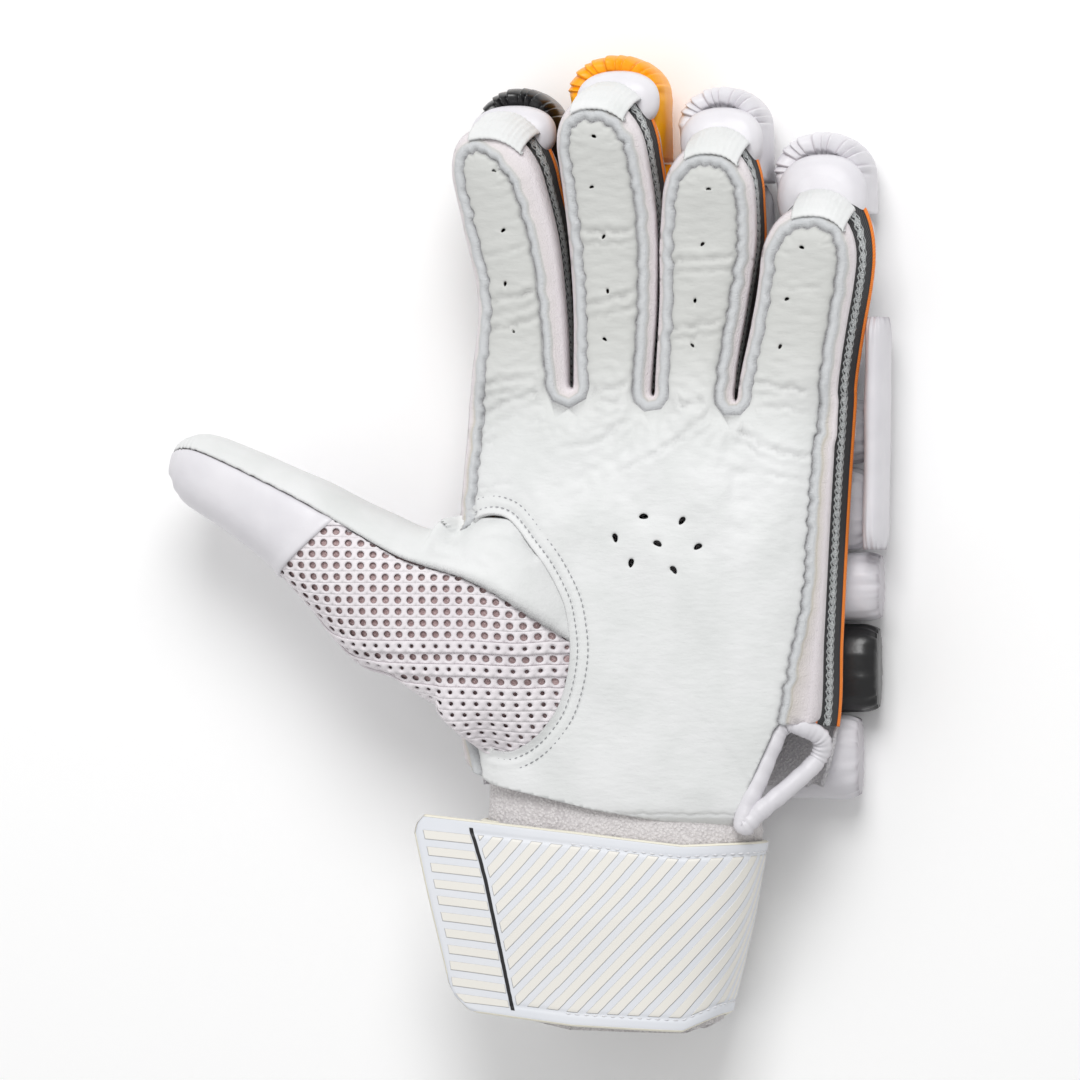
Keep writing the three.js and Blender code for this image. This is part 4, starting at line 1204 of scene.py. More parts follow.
    def build(self) -> Shape:
        """Makes the leather with its seams, creases and folds."""
        form = self.form
        flat, faces = self.plan()
        away, index = form.nearest(flat)
        run = form.run[index]
        crown = form.crown(flat)
        finger = smooth(S.root_y - 14, S.root_y + 4, flat[:, 1])
        reach = 6.5 + 0.8 * finger
        rise = (1 - (1 - np.clip(away / reach, 0, 1)) ** 2.2) ** (1 / 2.2)
        z = S.seam_z + (crown - S.seam_z) * rise
        base = np.column_stack([flat, z])
        normals = vertex_normals(base, faces)
        normals *= np.where(normals[:, 2:] < 0, -1.0, 1.0)
        strip, seam = (part[index] for part in form.seams())
        width = seam - strip - 0.4
        fade = np.clip((flat[:, 1] + 66) / 10, 0, 1)
        over = np.clip((away - strip) / width, 0, 1)
        ridge = np.sin(math.pi * over) ** 0.7 * (over > 0) * (over < 1)
        crease = bell(away - seam, 0.5)
        puff = 1 - np.exp(-np.maximum(away - seam, 0) / 2.6)
        tuck = 1 + 0.2 * ripple(run, 7.0, 6)
        lift = 0.95 * ridge + 0.7 * np.clip(1 - away / np.maximum(strip, 0.5), 0, 1) ** 0.5
        lift += -1.0 * crease * tuck + 1.1 * puff * np.exp(-np.maximum(away - seam, 0) / 16)
        pucker = np.exp(-np.maximum(away - seam, 0) / 2.4) * (away > seam)
        lift += 0.14 * pucker * ripple(run, 4.0, 7) * finger
        lift *= fade
        # painted shade along the seam's crease, gathered in dark and written to the crease mark
        dark = 0.9 * bell(away - seam, 0.3) * fade * (0.65 + 0.35 * tuck)
        # the crease and wrinkle lines add painted shade of their own, as much as their shade column gives
        for lines, depth, wide, shade, seed in (
            (self.creases, 0.95, 0.8, 0.35, 10),
            (self.wrinkles, 0.5, 0.7, 0.16, 40),
            (self.folds, 0.9, 5.0, 0.0, 80),
        ):
            for k, line in enumerate(lines):
                path = bent(line, wobble=0.6 if wide < 2 else 1.5, seed=seed + k)
                near = np.abs(flat[:, 1] - path[:, 1].mean()) < 40
                gap = line_marks(flat[near], [path])
                ends = np.minimum(
                    np.linalg.norm(flat[near] - path[0], axis=1), np.linalg.norm(flat[near] - path[-1], axis=1)
                )
                taper = smooth(0.0, 5.0, ends)
                strength = taper * (0.75 + 0.35 * ripple(flat[near], 6.0, seed + k))
                inside = smooth(0.0, 1.2, away[near] - seam[near])
                pulse = bell(gap, wide) - 0.45 * np.exp(-(((gap - 2.1 * wide) / (1.1 * wide)) ** 2))
                lift[near] -= depth * strength * pulse * inside
                line_shade = shade * strength * bell(gap, 0.6 * wide) * inside
                dark[near] = np.maximum(dark[near], line_shade)
        crotch = np.array([[-23.4, 62.5], [0.2, 60.0], [26.3, 58.3]])
        for k, spot in enumerate(crotch):
            offset = flat - spot
            far = np.linalg.norm(offset, axis=1)
            turn = np.arctan2(offset[:, 1], offset[:, 0])
            rays = np.sin(turn * 17 + 2.0 * ripple(far, 9.0, 90 + k))
            lift += 0.2 * rays * bell(far - 9, 7) * smooth(0, 2, away - seam)
        lines = np.column_stack([flat[:, 0] / 4.2, flat[:, 1]])
        lift += 0.1 * ripple(lines, 2.1, 21) * smooth(1.0, 3.0, away - seam) * (0.35 + 0.65 * finger)
        lift += 0.35 * ripple(flat, 26.0, 22) * smooth(2.0, 8.0, away - seam)
        ridged = 1 - np.abs(ripple(flat / [7.0, 1.0], 3.6, 24))
        zone = smooth(30.0, 56.0, flat[:, 1]) * smooth(2.0, 5.0, away - seam)
        lift -= 0.3 * smooth(0.7, 1.0, ridged) * zone * (0.4 + 0.6 * smooth(-0.2, 0.8, ripple(flat, 30.0, 25)))
        ring = line_marks(flat, [self.thumb.rim_line(2.0)])
        lift += 0.75 * bell(ring, 1.0) - 0.3 * bell(ring - 2.2, 0.5)
        lift += 0.2 * bell(ring - 3.7, 0.8) - 0.2 * bell(ring - 5.4, 0.5)
        # painted shade in a thin line along the thumb opening's rim
        dark = np.maximum(dark, 0.45 * bell(ring, 0.35))
        for middle, radius, _ in self.holes():
            gap = np.linalg.norm(flat - middle, axis=1) - radius
            lift -= 0.3 * radius * np.exp(-np.maximum(gap, 0) / 0.7) * (gap < 5)
        points = form.place(base + normals * lift[:, None])
        cream = bell(away - strip - 0.15, 0.35) * fade * (0.35 + 0.65 * (1 - finger))
        marks = {
            "crease": np.clip(dark, 0, 1),
            "strip": smooth(0.25, -0.25, away - strip) * fade,
            "rim": smooth(-0.3, 0.3, away - strip) * smooth(0.3, -0.3, away - seam) * fade,
            "cream": np.clip(cream, 0, 1),
            # painted shade mark: fades in from 22 mm below the finger roots to 22 mm above them, inside the seam
            # line
            "soil": smooth(S.root_y - 22, S.root_y + 22, flat[:, 1]) * (1 - smooth(0.3, -0.3, away - seam)),
        }
        return Shape(points, faces.tolist(), marks)


@dataclass
class BackCloth:
    """The cloth back of the hand and its turned-up sides, under the rolls."""

    form: HandForm
    gap: float = 2.0

    def build(self) -> Shape:
        """Makes the back as a tray that is open upwards."""
        form = self.form
        border = form.outline[::2]
        low = -0.43 * S.palm_length
        gx, gy = np.meshgrid(np.arange(-60, 70, self.gap), np.arange(-66, 150, self.gap))
        spots = np.stack([gx.ravel(), gy.ravel()], 1)
        spots = spots[polygon_distance(border, spots) > 5.2]
        rows = [border]
        outward = form.outward[::2]
        tree = plan_tree(border)
        for depth in (0.4, 1.0, 1.8, 2.8, 4.0):
            row = border - outward * depth
            keep = np.array([tree.find((x, y, 0.0))[2] > depth - 0.2 for x, y in row])
            rows.append(row[keep])
        points = np.concatenate(rows + [spots])
        edges = [(k, (k + 1) % len(border)) for k in range(len(border))]
        flat, faces = triangulate(points, edges)
        faces = faces[flat[faces].mean(axis=1)[:, 1] > low]
        away, index = form.nearest(flat)
        rise = (1 - (1 - np.clip(away / 4.0, 0, 1)) ** 2.2) ** (1 / 2.2)
        which, _ = form.finger_of(flat)
        bulge = np.where((flat[:, 0] > 20) & ((which == 3) | (flat[:, 1] < S.root_y)), S.side_bulge, 0.0)
        right = smooth(0.3, 0.8, form.outward[index][:, 0])
        shift = bulge * right * np.exp(-away / 6.0)
        z = S.cloth_z - (S.cloth_z - S.back_z) * rise
        used, faces = packed(len(flat), faces)
        body = np.column_stack([flat[:, 0] + shift, flat[:, 1], z])[used]
        gather = 0.25 * ripple(form.run[index][used], 2.6, 31) * np.exp(-away[used] / 3.0)
        body[:, 2] -= gather
        crease = np.clip(0.4 * bell(away[used] - 4.2, 0.8), 0, 1)
        return Shape(form.place(body), faces.tolist(), {"crease": crease})


@dataclass
class SideTape:
    """A finger's woven tape, from web to web round its tip, or on down the side of the palm."""

    form: HandForm
    finger: Finger
    cols: int = 23

    def path(self) -> Array:
        """The plan line that the tape follows, from the right side round to the left."""
        finger = self.finger
        low = S.root_y + 1.0
        line = finger.edge(low, 60, 40)
        table = np.array(self.form.PALM)
        if finger.name == "little":
            y = np.linspace(-37.5, S.root_y - 2, 115)
            side = spline(table[:, 0], table[:, 2], (y - S.wrist_y) / S.palm_length) * S.palm_width
            line = np.concatenate([np.stack([side, y], 1), line])
        if finger.name == "index":
            y = np.linspace(S.root_y - 2, 8.0, 70)
            side = spline(table[:, 0], table[:, 1], (y - S.wrist_y) / S.palm_length) * S.palm_width
            line = np.concatenate([line, np.stack([side, y], 1)])
        run = run_along(line)
        at = np.linspace(0, run[-1], int(run[-1] / 0.7))
        for _ in range(2):
            line[1:-1] = (line[:-2] + 2 * line[1:-1] + line[2:]) / 4
        return np.column_stack([np.interp(at, run, line[:, 0]), np.interp(at, run, line[:, 1]), at])

    def build(self) -> Shape:
        """Makes the tape with its pattern places: along it in millimetres, across it from 0 to 1."""
        finger = self.finger
        line = self.path()
        ahead = np.gradient(line[:, :2], axis=0)
        ahead = unit(ahead)
        outward = np.stack([ahead[:, 1], -ahead[:, 0]], 1)
        right = smooth(0.2, 0.9, outward[:, 0])
        across = np.linspace(0, 1, self.cols)
        low, high = S.cloth_z + 0.4, S.seam_z - 0.3
        z = low + (high - low) * across
        push = finger.bulge * np.maximum(right, 0.0)[:, None] * (1 - across)[None]
        thick = 0.45 * smooth(0.0, 0.03, across) * smooth(1.0, 0.97, across)
        rib = 0.35 * bell(np.abs(across - 0.5) - 0.44, 0.05) + 0.3 * bell(across - 0.5, 0.1)
        out = push - 2.0 * across - 0.1 + thick + rib
        flat = line[:, None, :2] + outward[:, None, :] * out[..., None]
        points = np.concatenate([flat, np.broadcast_to(z, flat.shape[:2])[..., None]], -1)
        y = line[:, 1][:, None] + 0 * across
        side, on = finger.flare(y)
        lowered = np.clip(1 - (z - S.back_z) / S.finger_depth, 0, 1)
        points[..., 0] += side * lowered
        points[..., 1] += on * lowered
        points[..., 2] += curl(y)
        uv = np.stack(np.broadcast_arrays(line[:, 2][:, None], across[None]), -1)
        faces = grid_faces(len(line), self.cols)
        return Shape(points.reshape(-1, 3), faces.tolist(), {}, uv.reshape(-1, 2))


# The thumb


@dataclass
class ThumbForm:
    """The thumb's smooth body: sections along it, and the seam between its leather and its mesh."""

    reach: float = 148.5
    width: float = 29.0
    depth: float = 29.0
    power: float = 2.3
    rows: tuple = (
        (0.107, -0.154, 0.9, 0.8, 0.58, 0.2, 1.7), (0.18, -0.123, 2.1, 1.1, 0.62, 0.14, 1.3),
        (0.273, -0.073, 2.5, 1.33, 0.69, 0.17, 1.12), (0.367, -0.031, 2.05, 1.33, 0.69, 0.27, 1.04),
        (0.487, -0.009, 1.64, 1.22, 0.7, 0.5, 1.0), (0.601, 0.076, 1.29, 1.1, 0.69, 0.56, 1.0),
        (0.718, 0.171, 1.0, 1.0, 0.67, 0.56, 1.0), (0.827, 0.243, 0.85, 0.88, 0.63, 0.54, 1.0),
        (0.924, 0.297, 0.73, 0.75, 0.6, 0.56, 1.0), (0.965, 0.314, 0.54, 0.56, 0.59, 0.62, 1.0),
        (0.989, 0.32, 0.25, 0.26, 0.59, 0.7, 1.0),
    )
    cover: tuple = ((-0.6 * 148.5, 0.21 * 130.0), (-0.775 * 148.5, 0.035 * 130.0))
    rim: tuple = (
        (-57.3, 19.4), (-52.6, 22.8), (-48.3, 25.3), (-44.0, 25.7), (-40.5, 24.5), (-37.1, 21.1), (-33.6, 16.5),
        (-29.3, 11.0), (-25.5, 4.7), (-22.9, -1.2), (-21.6, -7.9), (-21.0, -14.7), (-21.6, -20.6), (-22.9, -26.4),
        (-25.0, -32.3), (-28.0, -37.0), (-31.9, -41.2), (-36.2, -44.1), (-40.5, -45.6), (-44.8, -45.0),
    )
    closing: tuple = ((-46.0, -42.5), (-55.0, -33.5), (-66.0, -25.0), (-66.0, 14.0))
    flank: tuple = ((-71.5, -27.3), (-50.0, -44.5))

    def frame(self, out: Array) -> tuple[Array, ...]:
        """Centres, side directions, half widths, half depths, seam shares and lower fullness."""
        table = np.array(self.rows)
        keys = np.arange(len(table), dtype=float)
        row = spline(keys, table, out * (len(table) - 1))
        centre = np.stack(
            [-row[:, 0] * self.reach, row[:, 1] * S.palm_length, S.back_z + row[:, 4] * S.hand_depth], 1
        )
        along = np.gradient(centre[:, :2], axis=0)
        for _ in range(12):
            along[1:-1] = (along[:-2] + 2 * along[1:-1] + along[2:]) / 4
        along = unit(along)
        side = np.stack([along[:, 1], -along[:, 0], np.zeros(len(along))], 1)
        return centre, side, row[:, 2] * self.width / 2, row[:, 3] * self.depth / 2, row[:, 5], row[:, 6]

    def surface(self, out: Array, turn: Array, grow: float = 0.0) -> Array:
        """Points of the body.

        Args:
            out: Places along the thumb, from 0 at its base to 1 at its tip.
            turn: Turns round it for each place, from 0 on its leather side, up over its front.
            grow: How far outside the body the points are.

        Returns:
            Places by turns by coordinates.
        """
        centre, side, half_width, half_depth, _, low = self.frame(out)
        turn = np.broadcast_to(turn, (len(out), np.shape(turn)[-1]))
        across, up = superellipse(turn, half_width[:, None] + grow, half_depth[:, None] + grow, self.power)
        fuller, higher = superellipse(turn, half_width[:, None] + grow, half_depth[:, None] + grow, 3.0)
        base = smooth(0.5, 0.3, out)[:, None]
        across = across + (fuller - across) * base
        up = up + (higher - up) * base
        across = np.where(across < 0, across * low[:, None], across)
        points = centre[:, None] + across[..., None] * side[:, None]
        points[..., 2] += up
        return self.sunk(points, grow)

    @property
    def end(self) -> Array:
        """The outermost point of the tip."""
        centre = self.frame(np.linspace(0, 1, 60))[0]
        way = centre[-1] - centre[-3]
        return centre[-1] + 1.1 * way / np.linalg.norm(way)

    def rim_line(self, step: float = 0.9) -> Array:
        """The edge of the palm's opening for the thumb, in even steps."""
        line = np.array(self.rim)
        run = run_along(line)
        fine = spline(run, line, np.linspace(0, run[-1], 900))
        run = run_along(fine)
        at = np.linspace(0, run[-1], int(run[-1] / step))
        return read_along(fine, run, at)

    def rim_way(self) -> Array:
        """Directions from the rim out over the palm."""
        rim = self.rim_line()
        way = to_right(np.gradient(rim, axis=0))
        middle = slice(40, 41)
        outside = polygon_distance(self.opening(), rim[middle] + 2 * way[middle])[0] < 0
        return way * (1.0 if outside else -1.0)

    def opening(self) -> Array:
        """The whole opening as a closed polygon."""
        return np.concatenate([self.rim_line(), np.array(self.closing)])

    @property
    def mouth(self) -> Array:
        """The opening with all that lies outside the palm's left side."""
        return np.concatenate([self.rim_line(2.0), [[-46.0, -60.0], [-90.0, -60.0], [-90.0, 40.0], [-60.0, 22.0]]])

    def sunk(self, points: Array, grow: float) -> Array:
        """Brings the body's front down to the palm along its opening, and under it past that."""
        flat = points.reshape(-1, 3).copy()
        near, far = (np.array(p) for p in self.flank)
        way = (far - near) / np.linalg.norm(far - near)
        normal = np.array([way[1], -way[0]])
        past = (flat[:, :2] - near) @ normal
        pull = np.where(past > -2.0, (past + 2.0) * 0.8, 0.0) * smooth(-88, -74, flat[:, 0])
        flat[:, :2] -= normal * pull[:, None]
        mine = (flat[:, 0] > -80) & (flat[:, 2] > 38)
        spots = flat[mine]
        level = HAND.crown(spots[:, :2]) + 0.1 + min(grow, 0.0)
        away = line_marks(spots[:, :2], [self.rim_line(2.0)])
        near_palm = smooth(-5.0, 0.5, polygon_distance(HAND.outline[::3], spots[:, :2]))
        inside = polygon_distance(self.mouth, spots[:, :2]) > 0
        share = 1 - (1 - np.clip(away / 15.0, 0, 1)) ** 2
        dome = np.where(spots[:, 2] > level, level + (spots[:, 2] - level) * share, spots[:, 2])
        under = np.minimum(spots[:, 2], level - 0.6 - 0.5 * np.minimum(away, 4.0))
        fade = smooth(-80, -62, spots[:, 0])
        under = spots[:, 2] + (under - spots[:, 2]) * near_palm
        flat[mine, 2] += (np.where(inside, dome, under) - spots[:, 2]) * fade
        return flat.reshape(points.shape)

    def seam_turn(self, out: Array) -> Array:
        """The turn at which the leather meets the mesh on the front."""
        return np.arccos(np.clip(self.frame(out)[4], 0.02, 0.95) ** (self.power / 2))


@dataclass
class Thumb:
    """The thumb's leather, its smooth tip cover, its open mesh and the lining behind it."""

    form: ThumbForm = field(default_factory=ThumbForm)
    pitch: tuple[float, float] = (3.8, 3.45)
    hole: float = 1.02
    front: int = 40
    wrinkles: tuple = (
        ((-50.0, 18.6), (-42.3, 19.2), (-35.4, 17.8), (-31.5, 14.0)),
        ((-45.2, 14.7), (-39.2, 12.1), (-32.4, 11.7)), ((-62.0, 14.0), (-54.0, 12.0), (-45.0, 8.0)),
    )

    def leather(self) -> Shape:
        """The leather strip along the thumb's upper side, front to back."""
        form = self.form
        out = np.linspace(0, 1, 200)
        seam = form.seam_turn(out)
        wave = (0.002 + 0.01 * smooth(0.5, 0.7, out)) * ripple(out * 150, 3.0, 61)
        wave = wave + 0.05 * smooth(0.86, 1.0, out) * ripple(out * 150, 4.0, 62)
        share = np.linspace(-1, 1, 81)
        turn = share[None, :] * (seam + 0.02 + wave)[:, None]
        points = form.surface(out, turn)
        faces = grid_faces(*turn.shape)
        flat = points.reshape(-1, 3)
        normal = self._outward(flat, np.repeat(out, len(share)))
        away = (1 - np.abs(share))[None, :] * seam[:, None] * 14.5
        gather = smooth(0.75, 0.95, out)[:, None] * np.exp(-away / 5.0) * ripple(out * 150, 3.3, 63)[:, None]
        lift = 0.75 + 0.35 * np.minimum(1.0, away / 1.5) ** 0.5 + 0.35 * gather
        lift += 0.25 * ripple(flat, 24.0, 64).reshape(lift.shape) * smooth(1, 5, away)
        lift += 0.8 * bell(away, 2.5) * smooth(0.5, 0.4, out)[:, None]
        gap = line_marks(flat[:, :2], [bent(line, seed=160) for line in self.wrinkles]).reshape(lift.shape)
        lift -= 0.45 * bell(gap, 1.1) - 0.2 * bell(gap - 2.4, 1.2)
        rim = line_marks(flat[:, :2], [form.rim_line(2.0)]).reshape(lift.shape)
        lift -= 0.9 * bell(rim, 3.0) * smooth(-66, -60, points[..., 0])
        lift *= smooth(1.0, 0.975, out)[:, None] * 0.8 + 0.2
        flat = flat + normal * lift.reshape(-1, 1)
        tip = form.end
        faces = faces.tolist()
        last = (len(out) - 1) * len(share)
        faces += [[last + k, last + k + 1, len(flat)] for k in range(len(share) - 1)]
        # painted shade along the strip's edges, where it meets the mesh
        crease = np.append(0.65 * bell(away, 0.5).reshape(-1), 0.0)
        none = np.zeros(len(crease))
        return Shape(np.vstack([flat, tip]), faces, {"crease": crease, "strip": none, "rim": none, "cream": none})

    def cover_at(self, out: Array, turn: Array, shift: float) -> Array:
        """Where along the thumb the slanted edge of the tip cover crosses each turn."""
        near, far = (np.array(p) for p in self.form.cover)
        way = (far - near) / np.linalg.norm(far - near)
        points = self.form.surface(out, np.broadcast_to(turn, (len(out), len(turn))))
        offset = points[..., :2] - near
        side = offset[..., 0] * way[1] - offset[..., 1] * way[0]
        sign = 1.0 if side[-1].mean() > 0 else -1.0
        side = side * sign - shift
        first = np.argmax(side > 0, axis=0)
        first = np.maximum(first, 1)
        a = side[first - 1, np.arange(len(turn))]
        b = side[first, np.arange(len(turn))]
        return out[first - 1] + (out[first] - out[first - 1]) * np.clip(-a / (b - a + 1e-9), 0, 1)

    def tip_cover(self) -> Shape:
        """The smooth cover over the tip, on the mesh's side of the seam."""
        form = self.form
        fine = np.linspace(0, 1, 500)
        share = np.linspace(0, 1, 90)
        rough = np.pi / 3 + share * (TURN - TURN / 3)
        start = self.cover_at(fine, rough, 0.0)
        along = np.linspace(0, 1, 90) ** 1.0
        out = start[None] + (1 - start[None]) * along[:, None]
        points = np.zeros((*out.shape, 3))
        for k in range(len(share)):
            seam = form.seam_turn(out[:, k])
            turn = seam + share[k] * (TURN - 2 * seam)
            points[:, k] = self._points_at(out[:, k], turn)
        flat = points.reshape(-1, 3)
        faces = grid_faces(*out.shape)
        normal = self._outward(flat, out.reshape(-1))
        seam_away = np.minimum(share, 1 - share)[None, :] * 60 + 0 * along[:, None]
        edge_away = along[:, None] * 55 + 0 * share[None]
        rolled = 0.5 * np.minimum(1, seam_away / 1.2) ** 0.5 - 0.25
        rolled = rolled + 0.5 * bell(edge_away - 0.9, 1.1)
        pucker = 0.3 * smooth(0.55, 1.0, along)[:, None] * np.exp(-seam_away / 3)
        pucker = pucker * ripple(along * 55, 3.0, 66)[:, None]
        flat = flat + normal * (0.35 + rolled + pucker).reshape(-1, 1)
        tip = form.end
        rows, cols = out.shape
        last = (rows - 1) * cols
        faces = faces.tolist() + [[last + k, last + k + 1, len(flat)] for k in range(cols - 1)]
        # painted shade along the cover's seams with the leather, uneven along them
        crease = 0.8 * bell(seam_away, 0.5) * (0.7 + 0.3 * ripple(along * 55, 2.0, 67)[:, None])
        return Shape(np.vstack([flat, tip]), faces, {"crease": np.append(np.clip(crease, 0, 1).reshape(-1), 0.0)})

    def _points_at(self, out: Array, turn: Array, grow: float = 0.0) -> Array:
        """Points of the body, one turn for each place along."""
        fine = np.linspace(0, 1, 400)
        centre, side, half_width, half_depth = self.form.frame(fine)[:4]
        table = np.column_stack([centre, side, half_width, half_depth])
        at = read_along(table, fine, out)
        across, up = superellipse(turn, at[:, 6] + grow, at[:, 7] + grow, self.form.power)
        points = at[:, :3] + across[:, None] * at[:, 3:6]
        points[:, 2] += up
        return points

    def _outward(self, points: Array, out: Array) -> Array:
        """Directions out of the body at points on it."""
        fine = np.linspace(0, 1, 400)
        centre = self.form.frame(fine)[0]
        at = read_along(centre, fine, out)
        way = points - at
        return way / np.maximum(np.linalg.norm(way, axis=1)[:, None], 1e-6)

    def unrolled(self) -> tuple[Array, Array, Array, Array]:
        """The mesh's side of the thumb as a table of points over a level cloth.

        Returns:
            The cloth's places along X, its places down from the seam's top, the points, and the
            outward directions.
        """
        form = self.form
        fine = np.linspace(0, 1, 420)
        share = np.linspace(-0.04, 1.0, 220)
        seam = form.seam_turn(fine)
        turn = seam[:, None] + share[None, :] * (TURN - 2 * seam)[:, None]
        points = form.surface(fine, turn)
        middle = form.frame(fine)[0]
        outward = points - middle[:, None]
        outward /= np.linalg.norm(outward, axis=2)[..., None]
        points = points - outward * (1.5 * smooth(0.004, -0.006, share))[None, :, None]
        xs = np.arange(-116.0, -15.0, 0.5)
        downs = np.arange(-46.0, 104.0, 0.5)
        table = np.full((len(xs), len(downs), 3), np.nan)
        normal = np.zeros_like(table)
        columns = np.full((len(xs), len(share), 6), np.nan)
        for k in range(len(share)):
            order = np.argsort(points[:, k, 0])
            data = np.concatenate([points[:, k], outward[:, k]], 1)[order]
            inside = (xs >= data[0, 0]) & (xs <= data[-1, 0])
            for c in range(6):
                columns[inside, k, c] = np.interp(xs[inside], data[:, 0], data[:, c])
        for i in range(len(xs)):
            good = ~np.isnan(columns[i, :, 0])
            if good.sum() < 20:
                continue
            line = columns[i, good]
            run = run_along(line[:, 1:3])
            ridge = good[: self.front].sum()
            down = run - run[ridge] - line[ridge, 1]
            inside = (downs >= down[0]) & (downs <= down[-1])
            for c in range(3):
                table[i, inside, c] = np.interp(downs[inside], down, line[:, c])
                normal[i, inside, c] = np.interp(downs[inside], down, line[:, 3 + c])
        return xs, downs, table, normal

    def mesh(self) -> Shape:
        """The open mesh: a cloth with a hole in each cell, laid over the thumb."""
        xs, downs, table, normal = self.unrolled()
        step = np.array(self.pitch)
        turns = np.arange(12) / 12 * TURN + math.pi / 12
        square = np.array([max(abs(math.cos(t)), abs(math.sin(t))) for t in turns])
        corner = np.stack([np.cos(turns) / square / 2, np.sin(turns) / square / 2], 1)
        rim = np.stack([np.cos(turns), np.sin(turns)], 1)
        points, faces, rise = [], [], []
        total = 0
        for i in range(-31, -3):
            for j in range(-14, 32):
                middle = np.array([i + 0.035 * j, j]) * step
                outer = middle + corner * step
                mid = middle + rim * (self.hole + 0.28)
                inner = middle + rim * self.hole
                points += [outer, mid, inner]
                rise += [0.2] * 12 + [0.22] * 12 + [-0.2] * 12
                for ring in (total, total + 12):
                    for k in range(12):
                        n = (k + 1) % 12
                        faces.append([ring + k, ring + n, ring + 12 + n, ring + 12 + k])
                total += 36
        flat = np.concatenate(points)
        fx = (flat[:, 0] - xs[0]) / (xs[1] - xs[0])
        fy = (flat[:, 1] - downs[0]) / (downs[1] - downs[0])
        i = np.clip(fx.astype(int), 0, len(xs) - 2)
        j = np.clip(fy.astype(int), 0, len(downs) - 2)
        tx, ty = (fx - i)[:, None], (fy - j)[:, None]
        both = np.concatenate([table, normal], 2)
        upper = both[i, j] * (1 - tx) + both[i + 1, j] * tx
        lower = both[i, j + 1] * (1 - tx) + both[i + 1, j + 1] * tx
        at = upper * (1 - ty) + lower * ty
        outside = (fx < 0) | (fy < 0) | (fx > len(xs) - 2) | (fy > len(downs) - 2)
        at[outside] = np.nan
        solid = at[:, :3] + at[:, 3:] * np.array(rise)[:, None]
        good = ~np.isnan(solid[:, 0])
        rim = line_marks(np.nan_to_num(solid[:, :2]), [self.form.rim_line(2.0)])
        solid[:, 2] -= 0.9 * bell(rim, 3.0)
        near, far = (np.array(p) for p in self.form.cover)
        way = (far - near) / np.linalg.norm(far - near)
        side = (solid[:, 0] - near[0]) * way[1] - (solid[:, 1] - near[1]) * way[0]
        good &= side * (1.0 if (-148 - near[0]) * way[1] - (45 - near[1]) * way[0] > 0 else -1.0) < 2.0
        faces = [f for f in faces if good[f].all()]
        used, kept = packed(len(solid), np.array(faces))
        return Shape(solid[used], kept.tolist(), {"crease": np.zeros(len(used))})

    def lining(self) -> Shape:
        """The cloth that shows through the mesh."""
        out = np.linspace(0.02, 0.8, 90)
        share = np.linspace(-0.03, 1.03, 70)
        seam = self.form.seam_turn(out)
        turn = seam[:, None] + share[None, :] * (TURN - 2 * seam)[:, None]
        points = self.form.surface(out, turn, -1.1)
        return Shape(points.reshape(-1, 3), grid_faces(*turn.shape).tolist())


    def guard(self, low: float, high: float, seed: int) -> Shape:
        """A stuffed pad behind the thumb between two shares of its reach."""
        table = np.array(self.form.rows)
        share = np.linspace(0, 1, 40)
        out = np.interp(low + (high - low) * share, table[:, 0], np.arange(len(table)) / (len(table) - 1))
        centre, side, half_width, half_depth = self.form.frame(out)[:4]
        full = 0.72 + 0.28 * np.clip(np.sin(math.pi * np.clip(share, 0.0, 1.0)) * 3.2, 0, 1) ** 0.5
        turns = even_turns(56, 2.6)
        depth = 12.0 + 0.45 * half_depth
        drop = half_depth + 12.0 - depth / 2
        halves = (0.93 * half_width * full)[:, None], (depth / 2 * full)[:, None]
        across, up = superellipse(turns[None], *halves, 2.6)
        points = centre[:, None] + across[..., None] * side[:, None]
        points[..., 2] += up - drop[:, None]
        ends = np.exp(-np.minimum(share, 1 - share) * (high - low) * 148 / 3.0)
        gather = ends[:, None] * np.sin(turns * 14 + seed)[None] * 0.55
        points[..., 2] += gather * np.sign(up) * 0.6
        # painted shade at the pad's gathered ends
        crease = 0.5 * np.exp(-np.minimum(share, 1 - share) * (high - low) * 148 / 0.8)[:, None] + 0 * up
        return closed_loft(points, {"crease": crease})


# Pads


